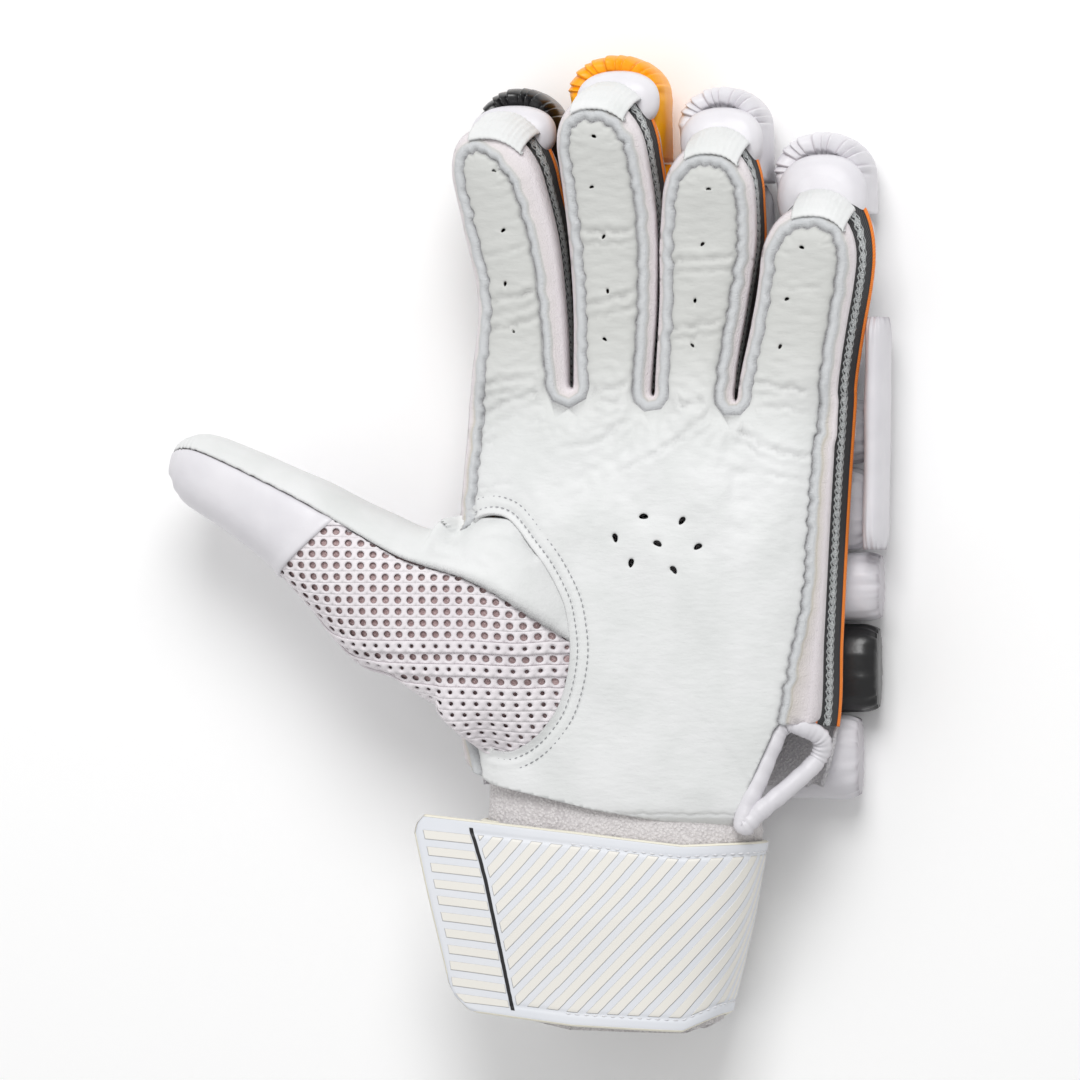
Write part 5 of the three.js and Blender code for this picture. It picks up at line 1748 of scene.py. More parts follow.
@dataclass
class Roll:
    """A stuffed roll with gathered ends, along X or along Y.

    Its sections are shares of the roll's length from one end; the pad is full in the middle and
    drawn in where its ends are sewn down.
    """

    ends: tuple[float, float]
    sides: Callable[[Array], tuple[Array, Array]]
    top: float
    bottom: float
    along_x: bool = False
    drawn: float = 0.6
    seed: int = 0
    round_ends: float = 6.0

    def build(self) -> Shape:
        """Makes the roll."""
        length = abs(self.ends[1] - self.ends[0])
        count = max(30, int(length / 1.0))
        share = 0.5 - 0.5 * np.cos(np.linspace(0, math.pi, count)) * (0.55 + 0.45 * np.linspace(-1, 1, count) ** 2)
        share = np.interp(share, (share[0], share[-1]), (0, 1))
        place = self.ends[0] + (self.ends[1] - self.ends[0]) * share
        low, high = self.sides(place)
        edge = np.minimum(share, 1 - share) * length
        full = 1 - (1 - self.drawn) * (1 - np.clip(edge / self.round_ends, 0, 1)) ** 2.2
        turns = even_turns(72, 2.6)
        half = (high - low) / 2 * (0.86 + 0.14 * (full - self.drawn) / (1 - self.drawn))
        top = self.top - (1 - full) * 0.28 * (self.top - self.bottom)
        bottom = self.bottom + (1 - full) * 0.8 * (self.top - self.bottom)
        across, up = superellipse(turns[None], half[:, None], ((top - bottom) / 2)[:, None], 2.5)
        middle = ((low + high) / 2)[:, None] + across
        height = ((top + bottom) / 2)[:, None] + up
        gather = np.exp(-edge / 4.5)[:, None]
        folds = np.sin(turns * 15 + 1.2 * ripple(turns * 6, 3.0, self.seed))
        folds = folds * (1 + 0.4 * ripple(turns * 9, 4.0, self.seed + 1))
        size = gather * folds[None] * 0.55
        spots = np.stack([np.broadcast_to(place[:, None], middle.shape) / 10, middle / 10, height / 10], -1)
        size = size + 0.22 * ripple(spots.reshape(-1, 3), 2.4, self.seed + 2).reshape(middle.shape)
        unit = np.hypot(across, up) + 1e-6
        middle = middle + size * across / unit
        height = height + size * up / unit
        height = np.maximum(height, 0.0)
        # painted shade in the gathers at the roll's sewn ends
        crease = 0.55 * np.exp(-edge / 0.7)[:, None] * (0.7 + 0.3 * folds[None])
        if self.along_x:
            points = np.stack([np.broadcast_to(place[:, None], middle.shape), middle, height], -1)
        else:
            rise = curl(place)[:, None]
            points = np.stack([middle, np.broadcast_to(place[:, None], middle.shape), height + rise], -1)
        return closed_loft(points, {"crease": np.clip(crease, 0, 1)})


@dataclass
class Tip:
    """The gathered pad over a fingertip, its smooth band and its leather loop."""

    finger: Finger
    pleats: int = 11
    pad_levels: tuple = (
        (0.0, 0.72, 0.0), (0.05, 0.84, 0.0), (0.16, 0.95, 0.0), (0.5, 1.0, 0.2), (0.85, 1.0, 0.45),
        (1.0, 0.975, 0.7), (1.12, 0.92, 0.9), (1.19, 0.84, 1.0), (1.2, 0.72, 1.0), (1.16, 0.58, 1.0),
        (1.05, 0.5, 1.0),
    )
    band_levels: tuple = (
        (0.08, 0.93), (0.12, 0.985), (0.17, 1.0), (0.22, 0.99),
        (0.27, 0.95), (0.31, 0.87), (0.345, 0.74), (0.37, 0.5),
    )
    loop_rows: tuple = (
        (0.9, -1.9), (0.95, -1.0), (0.93, 0.3), (0.84, 1.3), (0.66, 1.9), (0.48, 1.9), (0.36, 1.6), (0.3, 0.9),
    )

    @staticmethod
    def between(rows: Sequence[tuple[float, ...]], count: int) -> Array:
        """A table's rows with even steps read smoothly between them."""
        return spline(np.arange(len(rows)), np.array(rows), np.linspace(0, len(rows) - 1, count))

    def middle(self, y: Array) -> Array:
        """The pad's middle line."""
        left, right = self.finger.tip_sides
        return (left + right) / 2 + self.finger.lean_at(y)

    def pad(self, from_y: float) -> Shape:
        """The pad: it passes the tip, rises in front of it, and is gathered round its end."""
        finger = self.finger
        left, right = finger.tip_sides
        wider = {"index": 0.0, "middle": 4.4, "ring": 2.0, "little": 2.2}[finger.name]
        half = (right - left) / 2 - S.seat_gap
        round_y = 0.92 * half
        half += wider / 2
        end_y = finger.end_y - round_y
        end_x = float(self.middle(finger.tip_y)) - wider / 2
        table = self.between(self.pad_levels, 44)
        turns = np.linspace(0, math.pi, 121)
        seed = sum(ord(c) for c in finger.name)
        steps = turns / math.pi * (self.pleats + 1)
        phase = steps + 0.22 * np.sin(steps * 2.1 + seed)
        part = phase % 1
        fold = 0.9 - 1.8 * part**0.7 * smooth(1.0, 0.84, part)
        sharp = np.exp(-((np.abs(((phase + 0.5) % 1) - 0.5) / 0.06) ** 2))
        rings, marks = [], []
        for up, full, depth in table:
            wide = half * (0.5 + 0.5 * full)
            back = from_y + 0.4 * S.pad_depth * (1 - full)
            size = full - depth * fold * 0.045
            x = end_x + half * size * np.cos(turns)
            y = end_y + round_y * size * np.sin(turns)
            z = up * S.pad_depth - depth * fold * 0.9 + curl(np.minimum(y, finger.tip_y))
            ys = np.linspace(back, end_y, 16)[:-1]
            wides = np.interp(ys, [back, end_y], [wide, half * full])
            grown = wider / 2 * (ys - back) / (end_y - back)
            wides = wides - wider / 2 + grown
            high = up * S.pad_depth + curl(np.minimum(ys, finger.tip_y))
            one, other = (np.stack([self.middle(ys) - grown + s * wides, ys, high], 1) for s in (1, -1))
            rings.append(np.concatenate([one, np.stack([x, y, z], 1), other[::-1]]))
            # painted shade in the sharp folds between the pleats round the end
            marks.append(np.concatenate([0 * ys, 0.5 * sharp * smooth(0.4, 1.0, depth), 0 * ys]))
        return closed_loft(np.array(rings), {"crease": np.array(marks)})

    def band(self) -> Shape:
        """The smooth band between the fingertip and the gathers."""
        finger = self.finger
        left, right = finger.tip_sides
        middle = (left + right) / 2 + 0.9 * finger.lean * S.palm_width
        half = (right - left) / 2 - S.seat_gap
        rise = float(curl(finger.tip_y))
        back = finger.tip_y - 0.5 * half
        front = finger.tip_y + finger.band_reach * S.pad_depth
        turns = even_turns(110, 2.3)
        table = self.between(self.band_levels, 36)
        rings = []
        for up, full in table:
            dx, dy = superellipse(turns, half * full, (front - back) / 2 * full, 2.3)
            z = S.back_z + up * S.finger_depth + S.seat_gap + rise + 0 * dx
            z -= 1.6 * np.clip(dy / (front - back) * 2, 0, 1) ** 2
            rings.append(np.stack([middle + dx, (front + back) / 2 + dy, z], 1))
        points = np.array(rings)
        points[..., 2] += 0.2 * ripple(points.reshape(-1, 3), 12.0, 70).reshape(points.shape[:2])
        # painted shade on the band's lowest rings
        crease = np.array([np.full(len(turns), 0.35 * smooth(0.16, 0.08, up)) for up, _ in table])
        return closed_loft(points, {"crease": crease})

    def loop(self) -> Shape:
        """The leather loop from the finger's seam down over the tape to the band."""
        finger = self.finger
        shift = {"index": 4.2, "middle": 1.8, "ring": 1.2, "little": 3.0}[finger.name]
        edge = finger.edge(finger.start_y - 8.0, 12, 40)
        run = run_along(edge)
        left, right = finger.tip_sides
        middle = (left + right) / 2 + shift
        at_tip = np.where(edge[:, 1] > finger.start_y, np.abs(edge[:, 0] - middle), 1e3)
        share = np.linspace(-0.5, 0.5, 40)
        at = run[int(np.argmin(at_tip))] + share * 17.5
        base = read_along(edge, run, at)
        way = np.gradient(base, axis=0)
        normal = np.stack([way[:, 1], -way[:, 0]], 1)
        normal = normal / np.linalg.norm(normal, axis=1)[:, None] + np.array([0.0, 1.3])
        normal = unit(normal)
        table = self.between(self.loop_rows, 44)
        height, out = table[:, 0], table[:, 1]
        lean, on = finger.flare(base[:, 1])
        wrinkle = 0.12 * ripple(share * 18, 1.8, 72)[None] + 0.06 * ripple(np.arange(44) * 0.4, 2.5, 73)[:, None]
        arch = np.sin(math.pi * np.clip((height - 0.3) / 0.65, 0, 1))
        stand = 0.9 * smooth(0.1, 0.5, -share)[None] * arch[:, None]
        lift = out[:, None] + wrinkle + stand
        low = (1 - height)[:, None]
        x = base[None, :, 0] + normal[None, :, 0] * lift + lean[None] * low
        y = base[None, :, 1] + normal[None, :, 1] * lift + on[None] * low
        z = S.back_z + height[:, None] * S.finger_depth + curl(base[:, 1])[None] + 0 * x
        # painted shade at the loop's upper end, where it goes under the leather's seam
        crease = 0.5 * np.exp(-(np.arange(44) / 1.4)[:, None]) + 0 * x
        marks = {name: 0 * crease for name in ("strip", "rim", "cream", "soil")}
        marks["crease"] = crease
        points = np.stack([x, y, z], -1).reshape(-1, 3)
        flat = {name: value.reshape(-1) for name, value in marks.items()}
        return Shape(points, grid_faces(44, 40).tolist(), flat)


# Cuff, strap and vent


@dataclass
class CuffForm:
    """The towelling cuff's sections, which the strap goes round."""

    width: float = 83.0
    wall: float = 2.4
    length: float = 86.0
    x: float = -0.07 * 112.0
    top_y: float = -67.99 + 0.185 * 130.0
    strap_width: float = 57.0
    strap_thickness: float = 2.2
    strap_ease: float = 0.8
    tab: float = 20.0

    def section(self, y: Array) -> tuple[Array, Array, Array, Array]:
        """The cuff's middle, half width, bottom and top at places along it."""
        tuck_low = S.back_z + 1.8 + 1.6 * S.seat_gap
        tuck_high = S.back_z + 0.95 * S.hand_depth - 1.8 - 1.3 * S.seat_gap
        high = S.back_z + 0.93 * S.hand_depth
        rows = np.array(
            [
                (0.0, 0.0, 0.97, tuck_low, tuck_high),
                (0.29, 0.0, 1.0, tuck_low, tuck_high),
                (0.38, -0.015, 0.97, 0.62 * S.back_z, S.back_z + 0.9 * S.hand_depth),
                (0.6, -0.03, 0.91, 0.52 * S.back_z, high),
                (1.0, -0.055, 0.77, 0.52 * S.back_z, high),
            ]
        )
        down = (self.top_y - np.asarray(y, float)) / self.length
        row = np.stack([np.interp(down, rows[:, 0], rows[:, k]) for k in range(1, 5)], -1)
        return self.x + row[..., 0] * self.width, row[..., 1] * self.width / 2, row[..., 2], row[..., 3]

    @property
    def strap_x(self) -> float:
        """Where the strap's free end is."""
        return self.x - self.width / 2 - self.tab

    @property
    def strap_y(self) -> float:
        """Where the strap's upper edge is at its free end."""
        return S.wrist_y + 0.029 * S.palm_length

    def edge(self, rows: Sequence[tuple[float, float]], x: Array) -> Array:
        """An edge that is given by shares across and down the strap, read at places across."""
        table = np.array(rows)
        xs = self.strap_x + table[:, 0] * (self.tab + self.width)
        return self.strap_y - np.interp(x, xs, table[:, 1]) * self.strap_width


@dataclass
class Cuff:
    """The towelling cuff."""

    form: CuffForm = field(default_factory=CuffForm)
    lower: tuple = ((-0.3, 1.0), (0.17, 1.02), (0.46, 1.14), (0.8, 1.155), (0.9, 1.07), (1.3, 0.98))

    def build(self) -> Shape:
        """Makes the cuff as a wall round the wrist, open at both ends."""
        form = self.form
        turns = even_turns(190, 3.2)
        share = np.linspace(0, 1, 90)
        walls = []
        for inner in (False, True):
            y = np.repeat(share[:, None], len(turns), 1) * -form.length + form.top_y
            for _ in range(3):
                middle, half, low, high = form.section(y)
                shrink = form.wall if inner else 0.0
                dx, dz = superellipse(turns[None], half - shrink, (high - low) / 2 - shrink, 3.2)
                x = middle + dx
                end = form.edge(self.lower, x) + 0.6
                y = form.top_y + share[:, None] * (end - form.top_y)
            walls.append(np.stack([x, y, (low + high) / 2 + dz], -1))
        for k, wall in enumerate(walls):
            flat = wall.reshape(-1, 3)
            size = 0.22 * ripple(flat, 2.0, 50 + k, 40) + 0.3 * ripple(flat, 14.0, 52 + k)
            centre = np.array([form.x - 2, 0, 33.0])
            way = (flat - centre) * [1, 0, 1]
            way = unit(way)
            loose = np.repeat(smooth(0.27, 0.33, share), len(turns))
            walls[k] = (flat + way * (size * loose)[:, None]).reshape(wall.shape)
        rings = np.concatenate([walls[0], walls[1][::-1]])
        faces = grid_faces(len(rings), len(turns), wrap_rows=True, wrap_cols=True)
        return Shape(rings.reshape(-1, 3), faces.tolist())


@dataclass
class Strap:
    """The wide wrist strap: a ribbed tab, and a ribbed band round the cuff."""

    form: CuffForm = field(default_factory=CuffForm)
    upper: tuple = ((0.0, 0.045), (0.025, 0.0), (0.8, 0.154), (1.15, 0.13))
    lower: tuple = (
        (0.0, 0.82), (0.105, 0.89), (0.123, 0.96), (0.17, 1.04),
        (0.47, 1.11), (0.8, 1.137), (0.9, 1.055), (1.15, 0.96),
    )
    free: tuple = (
        (0.0, 0.032), (0.04, 0.007), (0.1, 0.0), (0.5, 0.052),
        (0.89, 0.105), (0.96, 0.123), (1.01, 0.152), (1.04, 0.18),
    )
    rows: int = 110
    cut_x: float = -52.1
    cut_slope: float = 17.0
    turn_span: tuple[float, float] = (0.56 * math.pi, -1.21 * math.pi)
    seams: list = field(default_factory=list)
    outward: list = field(default_factory=list)

    def left_edge(self, y: Array) -> Array:
        """The slanted free edge of the tab."""
        form = self.form
        table = np.array(self.free)
        down = (form.strap_y - y) / form.strap_width
        return form.strap_x + np.interp(down, table[:, 0], table[:, 1]) * (form.tab + form.width)

    def build(self) -> Shape:
        """Makes the strap with the marks that its finish reads."""
        form = self.form
        across = np.linspace(0, 1, self.rows)
        tab_steps = np.linspace(0, 1, 44)[:-1]
        fine = np.linspace(*self.turn_span, 3000)
        fx, fz = superellipse(fine, 39.0, 19.0, 3.2)
        run = np.concatenate([[0], np.cumsum(np.hypot(np.diff(fx), np.diff(fz)))])
        turns = np.interp(np.linspace(0, run[-1], 300), run, fine)
        cols = len(tab_steps) + len(turns)
        y = np.full((self.rows, cols), -95.0)
        for _ in range(5):
            sections = form.section(np.maximum(y, form.top_y - form.length))
            centre, half, low, high = (part[:, -len(turns) :] for part in sections)
            (dx, dz), (ix, iz) = (
                superellipse(turns[None], half + grow, (high - low) / 2 + grow, 3.2)
                for grow in (form.strap_ease + form.strap_thickness, form.strap_ease)
            )
            level = (high + low) / 2
            start = (centre + dx)[:, :1]
            edge = self.left_edge(y[:, : len(tab_steps)])
            tab_x = edge + (start - edge) * tab_steps[None]
            x = np.concatenate([tab_x, centre + dx], 1)
            top, bottom = form.edge(self.upper, x), form.edge(self.lower, x)
            y = top + (bottom - top) * across[:, None]
        z_out, z_in = (
            np.concatenate([np.repeat(z[:, :1], len(tab_steps), 1), z], 1) for z in (level + dz, level + iz)
        )
        x_in = np.concatenate([tab_x, centre + ix], 1)
        outer = np.stack([x, y, z_out], -1)
        inner = np.stack([x_in, y, z_in], -1)
        marks = self._distances(outer)
        thick = outer - inner
        way = thick / np.linalg.norm(thick, axis=2)[..., None]
        edge_round = np.minimum(across, 1 - across)[:, None] * form.strap_width
        end_round = np.minimum(np.arange(cols), cols - 1 - np.arange(cols))[None] * 0.45
        rounded = np.minimum(np.minimum(edge_round, end_round) / 0.9, 1.0)
        lift = -0.8 * (1 - np.sqrt(np.clip(rounded * (2 - rounded), 0, 1)))
        for side in (marks["top"], marks["low"]):
            lift = lift - 0.35 * bell(side - 3.9, 0.6) * smooth(-1.0, 1.0, marks["cut"])
        sag = 0.5 * ripple(outer.reshape(-1, 3), 60.0, 33).reshape(lift.shape)
        outer = outer + way * (lift - 0.5 + sag * 0.6)[..., None]
        low_rows = np.linspace(self.rows - 1, 0, 12).astype(int)
        rings = np.concatenate([outer, inner[low_rows] + way[low_rows] * 0.1])
        flat = {name: np.concatenate([value, value[low_rows]]).T for name, value in marks.items()}
        self.seams = [outer[7, 46:-3], outer[-8, 46:-3]]
        self.outward = [way[7, 46:-3], way[-8, 46:-3]]
        return closed_loft(rings.transpose(1, 0, 2), flat)

    def _distances(self, points: Array) -> dict[str, Array]:
        """Distances over the strap's outer side: from its edges, past its cut line, along and down."""
        x, y = points[..., 0], points[..., 1]
        step = np.linalg.norm(np.diff(points, axis=1), axis=2)
        run = np.concatenate([np.zeros((len(x), 1)), np.cumsum(step, axis=1)], 1)
        slant = (y[0, 0] - y) / self.form.strap_width
        return {
            "top": y[:1] - y,
            "low": y - y[-1:],
            "left": run,
            "cut": run + x[:, :1] - (self.cut_x + self.cut_slope * slant),
            "run": run + x[:, :1],
            "down": y[0, 0] - y,
        }


@dataclass
class Vent:
    """The rolled edge round the side vent."""

    radius: float = 2.8
    places: tuple = (
        (0.378, -0.287, 0.76), (0.428, -0.291, 0.74), (0.474, -0.32, 0.62), (0.457, -0.368, 0.56),
        (0.395, -0.425, 0.7), (0.325, -0.48, 0.86), (0.276, -0.519, 0.88), (0.282, -0.482, 0.87),
        (0.318, -0.405, 0.83), (0.348, -0.338, 0.8),
    )

    def path(self, count: int) -> Array:
        """Even places round the vent."""
        points = np.array(self.places) * [S.palm_width, S.palm_length, S.hand_depth] + [0, 0, S.back_z]
        many = np.concatenate([points[-3:], points, points[:3]])
        out = spline(np.arange(len(many)) - 3.0, many, np.linspace(0, len(points), 800))
        run = run_along(out)
        at = np.arange(count) / count * run[-1]
        return read_along(out, run, at)

    def build(self) -> Shape:
        """Makes the rolled edge, wrinkled where it turns."""
        path = self.path(180)
        ahead = np.roll(path, -2, 0) - np.roll(path, 2, 0)
        ahead = unit(ahead)
        side = np.stack([ahead[:, 1], -ahead[:, 0], 0 * ahead[:, 0]], 1)
        side = unit(side)
        upright = np.cross(side, ahead)
        turns = np.arange(28) / 28 * TURN
        bend = np.linalg.norm(np.roll(ahead, -3, 0) - np.roll(ahead, 3, 0), axis=1)
        at = np.arange(180) * 0.6
        fold = 0.3 * ripple(at, 2.2, 81) * np.clip(bend * 1.5, 0, 1) + 0.15 * ripple(at, 9.0, 82)
        fold = fold[:, None]
        radius = self.radius + fold * (1 + 0.4 * np.sin(turns * 2))[None]
        points = path[:, None] + side[:, None] * (radius * np.cos(turns))[..., None]
        points = points + upright[:, None] * (radius * np.sin(turns))[..., None]
        # painted shade in a line along one side of the rolled edge
        crease = 0.5 * bell(turns - math.pi, 0.35)[None] * np.ones((180, 1))
        faces = grid_faces(180, 28, wrap_rows=True, wrap_cols=True)
        return Shape(points.reshape(-1, 3), faces.tolist(), {"crease": crease.reshape(-1)})


@dataclass
class Stitching:
    """Rows of thread stitches along seams."""

    length: float = 1.9
    pitch: float = 2.9
    radius: float = 0.27

    def along(self, path: Array, up: Array) -> Shape:
        """Lays stitches along a line of points.

        Args:
            path: Places along the seam.
            up: Directions out of the surface there.

        Returns:
            All the stitches as one shape.
        """
        run = run_along(path)
        parts, faces, total = [], [], 0
        share = np.linspace(0, 1, 6)
        turns = np.arange(6) / 6 * TURN
        for start in np.arange(0.3, run[-1] - self.length, self.pitch):
            at = start + share * self.length
            centre = read_along(path, run, at)
            rise = read_along(up, run, at)
            centre = centre + rise * (0.32 * np.sin(math.pi * share) - 0.08)[:, None]
            ahead = np.gradient(centre, axis=0)
            ahead = unit(ahead)
            side = np.cross(ahead, rise)
            size = self.radius * np.sin(math.pi * np.clip(share, 0.08, 0.92)) ** 0.5
            ring = centre[:, None] + side[:, None] * (size[:, None] * np.cos(turns))[..., None]
            ring = ring + rise[:, None] * (size[:, None] * np.sin(turns))[..., None]
            one = closed_loft(ring)
            parts.append(one.points)
            faces += [[v + total for v in f] for f in one.faces]
            total += len(one.points)
        return Shape(np.concatenate(parts), faces)


@dataclass
class Stage:
    """The pale floor, the soft lights and the camera."""

    target: tuple[float, float, float] = (-31.75, 18.0, 45.0)
    tilt: float = 12.0
    distance: float = 2700.0
    lens: float = 300.0

    def floor(self) -> None:
        """Lays the floor."""
        mesh = bpy.data.meshes.new("floor")
        mesh.from_pydata([(-3, -3, 0), (3, -3, 0), (3, 3, 0), (-3, 3, 0)], [], [(0, 1, 2, 3)])
        floor = bpy.data.objects.new("floor", mesh)
        bpy.context.scene.collection.objects.link(floor)
        paper = bpy.data.materials.new("floor")
        paper.use_nodes = True
        shader = paper.node_tree.nodes["Principled BSDF"]
        shader.inputs["Base Color"].default_value = (1.0, 1.0, 1.0, 1.0)
        shader.inputs["Roughness"].default_value = 0.9
        floor.data.materials.append(paper)

    def lamp(self, name: str, place: tuple[float, float, float], size: float, power: float) -> None:
        """Hangs a soft square lamp that looks at the glove."""
        light = bpy.data.lights.new(name, "AREA")
        light.size = size
        light.energy = power
        lamp = bpy.data.objects.new(name, light)
        lamp.location = place
        way = np.array([0.0, 0.0, 0.04]) - np.array(place)
        flat = math.hypot(way[0], way[1])
        lamp.rotation_euler = (math.atan2(flat, -way[2]), 0.0, math.atan2(way[0], -way[1]) + math.pi)
        bpy.context.scene.collection.objects.link(lamp)

    def light(self) -> None:
        """Lights the glove from above, as on a copy stand."""
        self.lamp("key_light", (0.1, 0.7, 1.0), 0.6, 8.6)
        self.lamp("fill_light", (-0.7, -0.2, 1.0), 1.0, 2.2)
        world = bpy.data.worlds.new("pale_room")
        world.use_nodes = True
        world.node_tree.nodes["Background"].inputs[0].default_value = (1.0, 1.0, 1.0, 1.0)
        world.node_tree.nodes["Background"].inputs[1].default_value = 0.5
        bpy.context.scene.world = world

    def camera(self) -> None:
        """Looks down at the glove from slightly right of straight above."""
        lens = bpy.data.cameras.new("camera")
        lens.lens = self.lens
        lens.sensor_width = 36.0
        lens.clip_end = 10.0
        camera = bpy.data.objects.new("camera", lens)
        turn = math.radians(self.tilt)
        way = np.array([math.sin(turn), 0.0, math.cos(turn)])
        camera.location = (np.array(self.target) + way * self.distance) * MM
        camera.rotation_euler = (0.0, turn, 0.0)
        bpy.context.scene.collection.objects.link(camera)
        bpy.context.scene.camera = camera

    def build(self) -> None:
        """Sets the whole stage."""
        self.floor()
        self.light()
        self.camera()
        bpy.context.scene.view_settings.view_transform = "Standard"


class Glove:
    """The whole glove, made sub-assembly by sub-assembly."""

    def __init__(self) -> None:
        """Makes the finishes and the forms that the pieces share."""
        effects = Effects()
        finishes = {
            Slot.LEATHER: LeatherFinish(),
            Slot.CLOTH: FuzzyFinish("back_cloth", linear(228, 226, 228), linear(196, 193, 198), 1500.0, 0.2),
            Slot.TAPE: TapeFinish(),
            Slot.MESH: CoatedFinish("thumb_mesh", linear(238, 233, 236), linear(228, 222, 226), 0.7),
            Slot.WHITE: CoatedFinish("white_cover", linear(228, 226, 230), linear(219, 217, 222)),
            Slot.BLACK: CoatedFinish(
                "black_cover", linear(24, 24, 26), linear(14, 14, 16), 0.3, 0.3, linear(4, 4, 5)
            ),
            Slot.ORANGE: CoatedFinish(
                "orange_cover", linear(255, 178, 0), linear(255, 156, 0), 0.4, 0.0, linear(196, 92, 0)
            ),
            Slot.TOWEL: FuzzyFinish("towelling", linear(228, 224, 224), linear(200, 195, 196), 1100.0, 0.35),
            Slot.STRAP: StrapFinish(),
        }
        self.looks = {slot: finish.build(effects) for slot, finish in finishes.items()}
        self.thread = CoatedFinish("thread", linear(236, 236, 238), linear(222, 222, 226), 0.6).build(effects)
        self.cord = CoatedFinish("grey_thread", linear(168, 168, 172), linear(150, 150, 154), 0.7).build(effects)
        self.inner = FuzzyFinish("lining", linear(206, 182, 182), linear(168, 140, 140), 1300.0, 0.2).build(effects)
        self.hand = HAND
        self.thumb = Thumb()
        self.cuff = CuffForm()

    def add(self, name: str, shape: Shape, slot: Slot, *nodes: str, **how) -> Piece:
        """Makes one piece and hands it to the frame.

        Args:
            name: The piece's name.
            shape: Its shape.
            slot: Its material slot.
            nodes: The solids it stands for.
            how: Its wall in millimetres, its fill where padded, its own material, an edge angle.

        Returns:
            The piece.
        """
        piece = make_object(name, shape, how.get("angle"))
        turn_outwards(piece, 0.02 if how.get("merge") else 0.0)
        piece.data.materials.append(how.get("look") or self.looks[slot])
        if how.get("wall"):
            thicken(piece, how["wall"])
        return settle(piece, slot, *nodes, fill=how.get("fill"))

    def front(self) -> None:
        """The palm's leather, the back, and the side tapes."""
        self.add("palm", PalmLeather(self.hand, self.thumb.form).build(), Slot.LEATHER, "palm_leather", wall=1.3)
        self.add("back", BackCloth(self.hand).build(), Slot.CLOTH, "back_cloth", wall=1.4)
        for finger in FINGERS:
            shape = SideTape(self.hand, finger).build()
            self.add(f"tape_{finger.name}", shape, Slot.TAPE, f"side_tape_{finger.name}", wall=0.9)

    def opening_stitches(self) -> None:
        """Two rows of stitches in the palm round the thumb."""
        rim = self.thumb.form.rim_line()
        way = self.thumb.form.rim_way()
        up = np.tile([0.0, 0.0, 1.0], (len(rim), 1))
        for k, depth in enumerate((2.2, 5.4)):
            line = rim + way * depth
            keep = polygon_distance(self.hand.leather[::2], line) > 4.2
            path = np.column_stack([line, self.hand.crown(line) + 0.3])[keep]
            shape = Stitching(length=1.2, pitch=1.9, radius=0.19).along(path, up[keep])
            self.add(f"opening_stitches_{k}", shape, Slot.LEATHER, look=self.cord)

    def thumbs(self) -> None:
        """The thumb's pieces."""
        self.opening_stitches()
        thumb = self.thumb
        self.add("thumb_strip", thumb.leather(), Slot.LEATHER, "thumb_leather", wall=1.2)
        self.add("thumb_cap", thumb.tip_cover(), Slot.WHITE, "thumb_tip_cover", wall=1.2)
        self.add("thumb_net", thumb.mesh(), Slot.MESH, "thumb_mesh", wall=0.6, merge=True)
        self.add("thumb_lining", thumb.lining(), Slot.CLOTH, look=self.inner, wall=0.5)
        self.add("thumb_pad_base", thumb.guard(0.47, 0.68, 1), Slot.WHITE, "thumb_guard_base", fill=0.8)
        self.add("thumb_pad_tip", thumb.guard(0.69, 0.965, 2), Slot.WHITE, "thumb_guard_tip", fill=0.8)

    def fingers(self) -> None:
        """The stuffed rolls behind each finger, its tip pad, band and loop."""
        for k, finger in enumerate(FINGERS):
            gap = S.seat_gap
            place = [S.root_y + s * (finger.end_y - S.root_y) + gap for s in (0.0, 0.36, 0.68)]

            def sides(y: Array, finger: Finger = finger) -> tuple[Array, Array]:
                """The roll's sides at places along the finger."""
                left, right = finger.sides(y)
                lean = finger.lean_at(y)
                half = ((right - left) / 2 - gap) * 0.985
                return (left + right) / 2 + lean - half, (left + right) / 2 + lean + half

            for n, part in enumerate(("base", "middle")):
                ends = (place[n], place[n + 1] - gap)
                roll = Roll(ends, sides, S.pad_depth, -S.floor_flat, seed=10 * k + n)
                name = f"roll_{part}_{finger.name}"
                self.add(f"stuffed_{part}_{finger.name}", roll.build(), finger.cover, name, fill=0.85)
            tip = Tip(finger)
            pad = tip.pad(place[2] + gap)
            self.add(f"tip_{finger.name}", pad, finger.cover, f"tip_pad_{finger.name}", fill=0.85)
            self.add(f"band_{finger.name}", tip.band(), Slot.WHITE, f"tip_band_{finger.name}")
            self.add(f"loop_{finger.name}", tip.loop(), Slot.LEATHER, f"tip_loop_{finger.name}", wall=1.0)

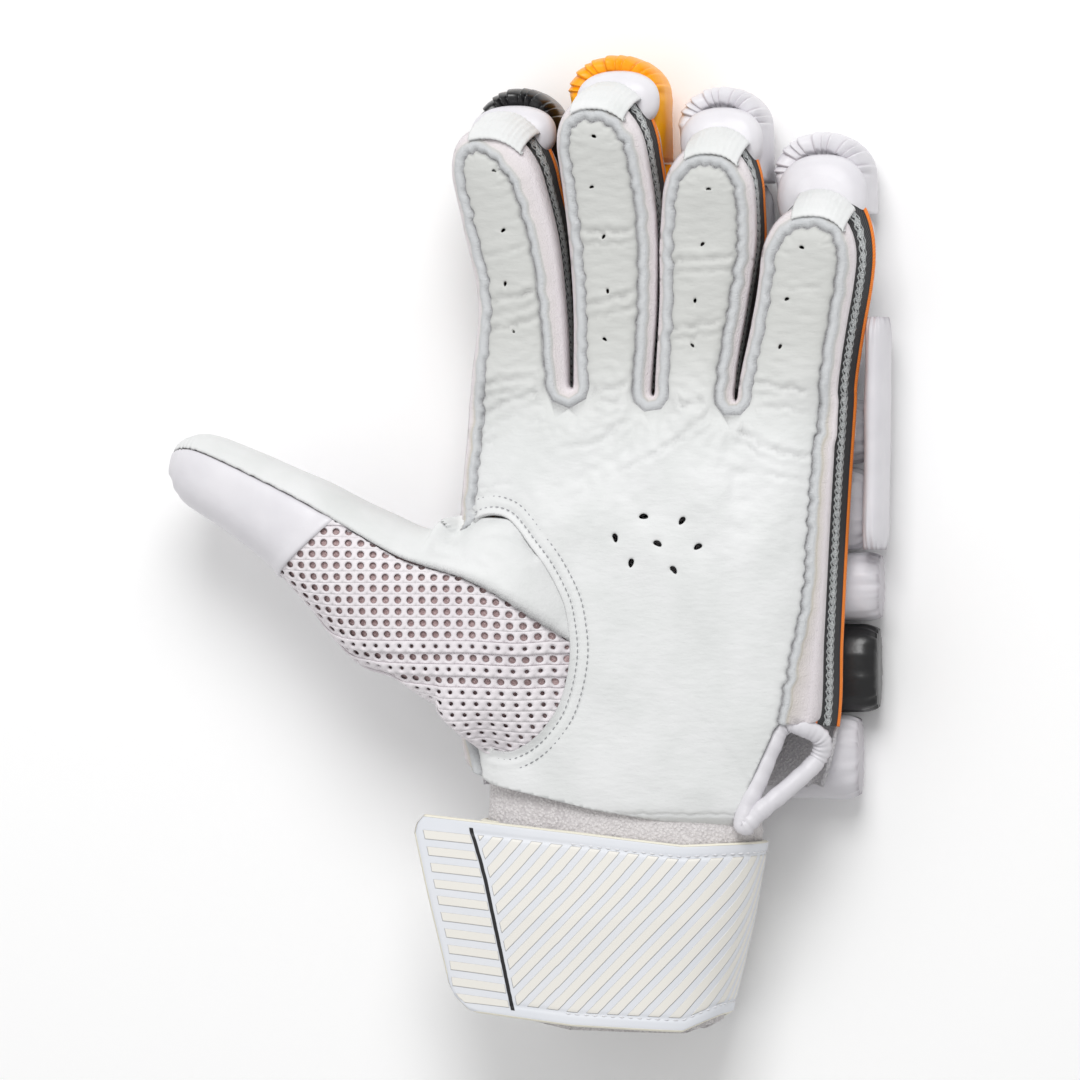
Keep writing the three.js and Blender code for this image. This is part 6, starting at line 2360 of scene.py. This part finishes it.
    def back(self) -> None:
        """The stuffed rolls over the back of the hand and the guard beside the little finger."""
        edge = 61.86 / S.palm_width
        rows = (
            ("knuckle", 0.312, 0.468, -0.462, edge, Slot.WHITE),
            ("upper", 0.116, 0.308, -0.475, edge, Slot.WHITE),
            ("middle", -0.05, 0.112, -0.475, 0.592, Slot.WHITE),
            ("lower", -0.262, -0.054, -0.472, 0.585, Slot.BLACK),
            ("wrist", -0.462, -0.266, -0.43, 0.535, Slot.WHITE),
        )
        for k, (name, low, high, left, right, cover) in enumerate(rows):

            def sides(x: Array, low: float = low, high: float = high) -> tuple[Array, Array]:
                """The roll's lower and upper sides, all along it."""
                gap = S.seat_gap / 2
                return low * S.palm_length + gap + 0 * x, high * S.palm_length - gap + 0 * x

            ends = (left * S.palm_width, right * S.palm_width)
            roll = Roll(ends, sides, S.pad_depth, -S.floor_flat, along_x=True, seed=100 + k)
            self.add(f"stuffed_{name}", roll.build(), cover, f"back_roll_{name}", fill=0.85)

        guard_low, guard_high = 15.08, 84.96

        def guard(y: Array) -> tuple[Array, Array]:
            """The side guard's sides."""
            share = (y - guard_low) / (guard_high - guard_low)
            return 62.21 + 0.9 * share, 68.81 + 0.9 * share

        roll = Roll((guard_low, guard_high), guard, S.pad_depth + 9.07, 0.3 * S.pad_depth, seed=120)
        self.add("side_pad", roll.build(), Slot.WHITE, "side_guard", fill=0.8)

    def wrist(self) -> None:
        """The cuff, the strap and the vent."""
        self.add("cuff", Cuff(self.cuff).build(), Slot.TOWEL, "wrist_cuff")
        strap = Strap(self.cuff)
        self.add("strap", strap.build(), Slot.STRAP, "wrist_strap")
        stitches = Stitching(length=1.7, pitch=2.7, radius=0.24)
        for k, (seam, outward) in enumerate(zip(strap.seams, strap.outward)):
            self.add(f"strap_stitches_{k}", stitches.along(seam, outward), Slot.STRAP, look=self.thread)
        self.add("vent_edge", Vent().build(), Slot.WHITE, "vent_binding")

    def build(self) -> None:
        """Makes every piece."""
        for step in (self.front, self.thumbs, self.fingers, self.back, self.wrist):
            step()


def main() -> None:
    """Builds the glove and the stage."""
    logging.basicConfig(level=logging.INFO, format="%(name)s %(message)s")
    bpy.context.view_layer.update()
    Glove().build()
    Stage().build()


if __name__ == "__main__":
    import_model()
    main()
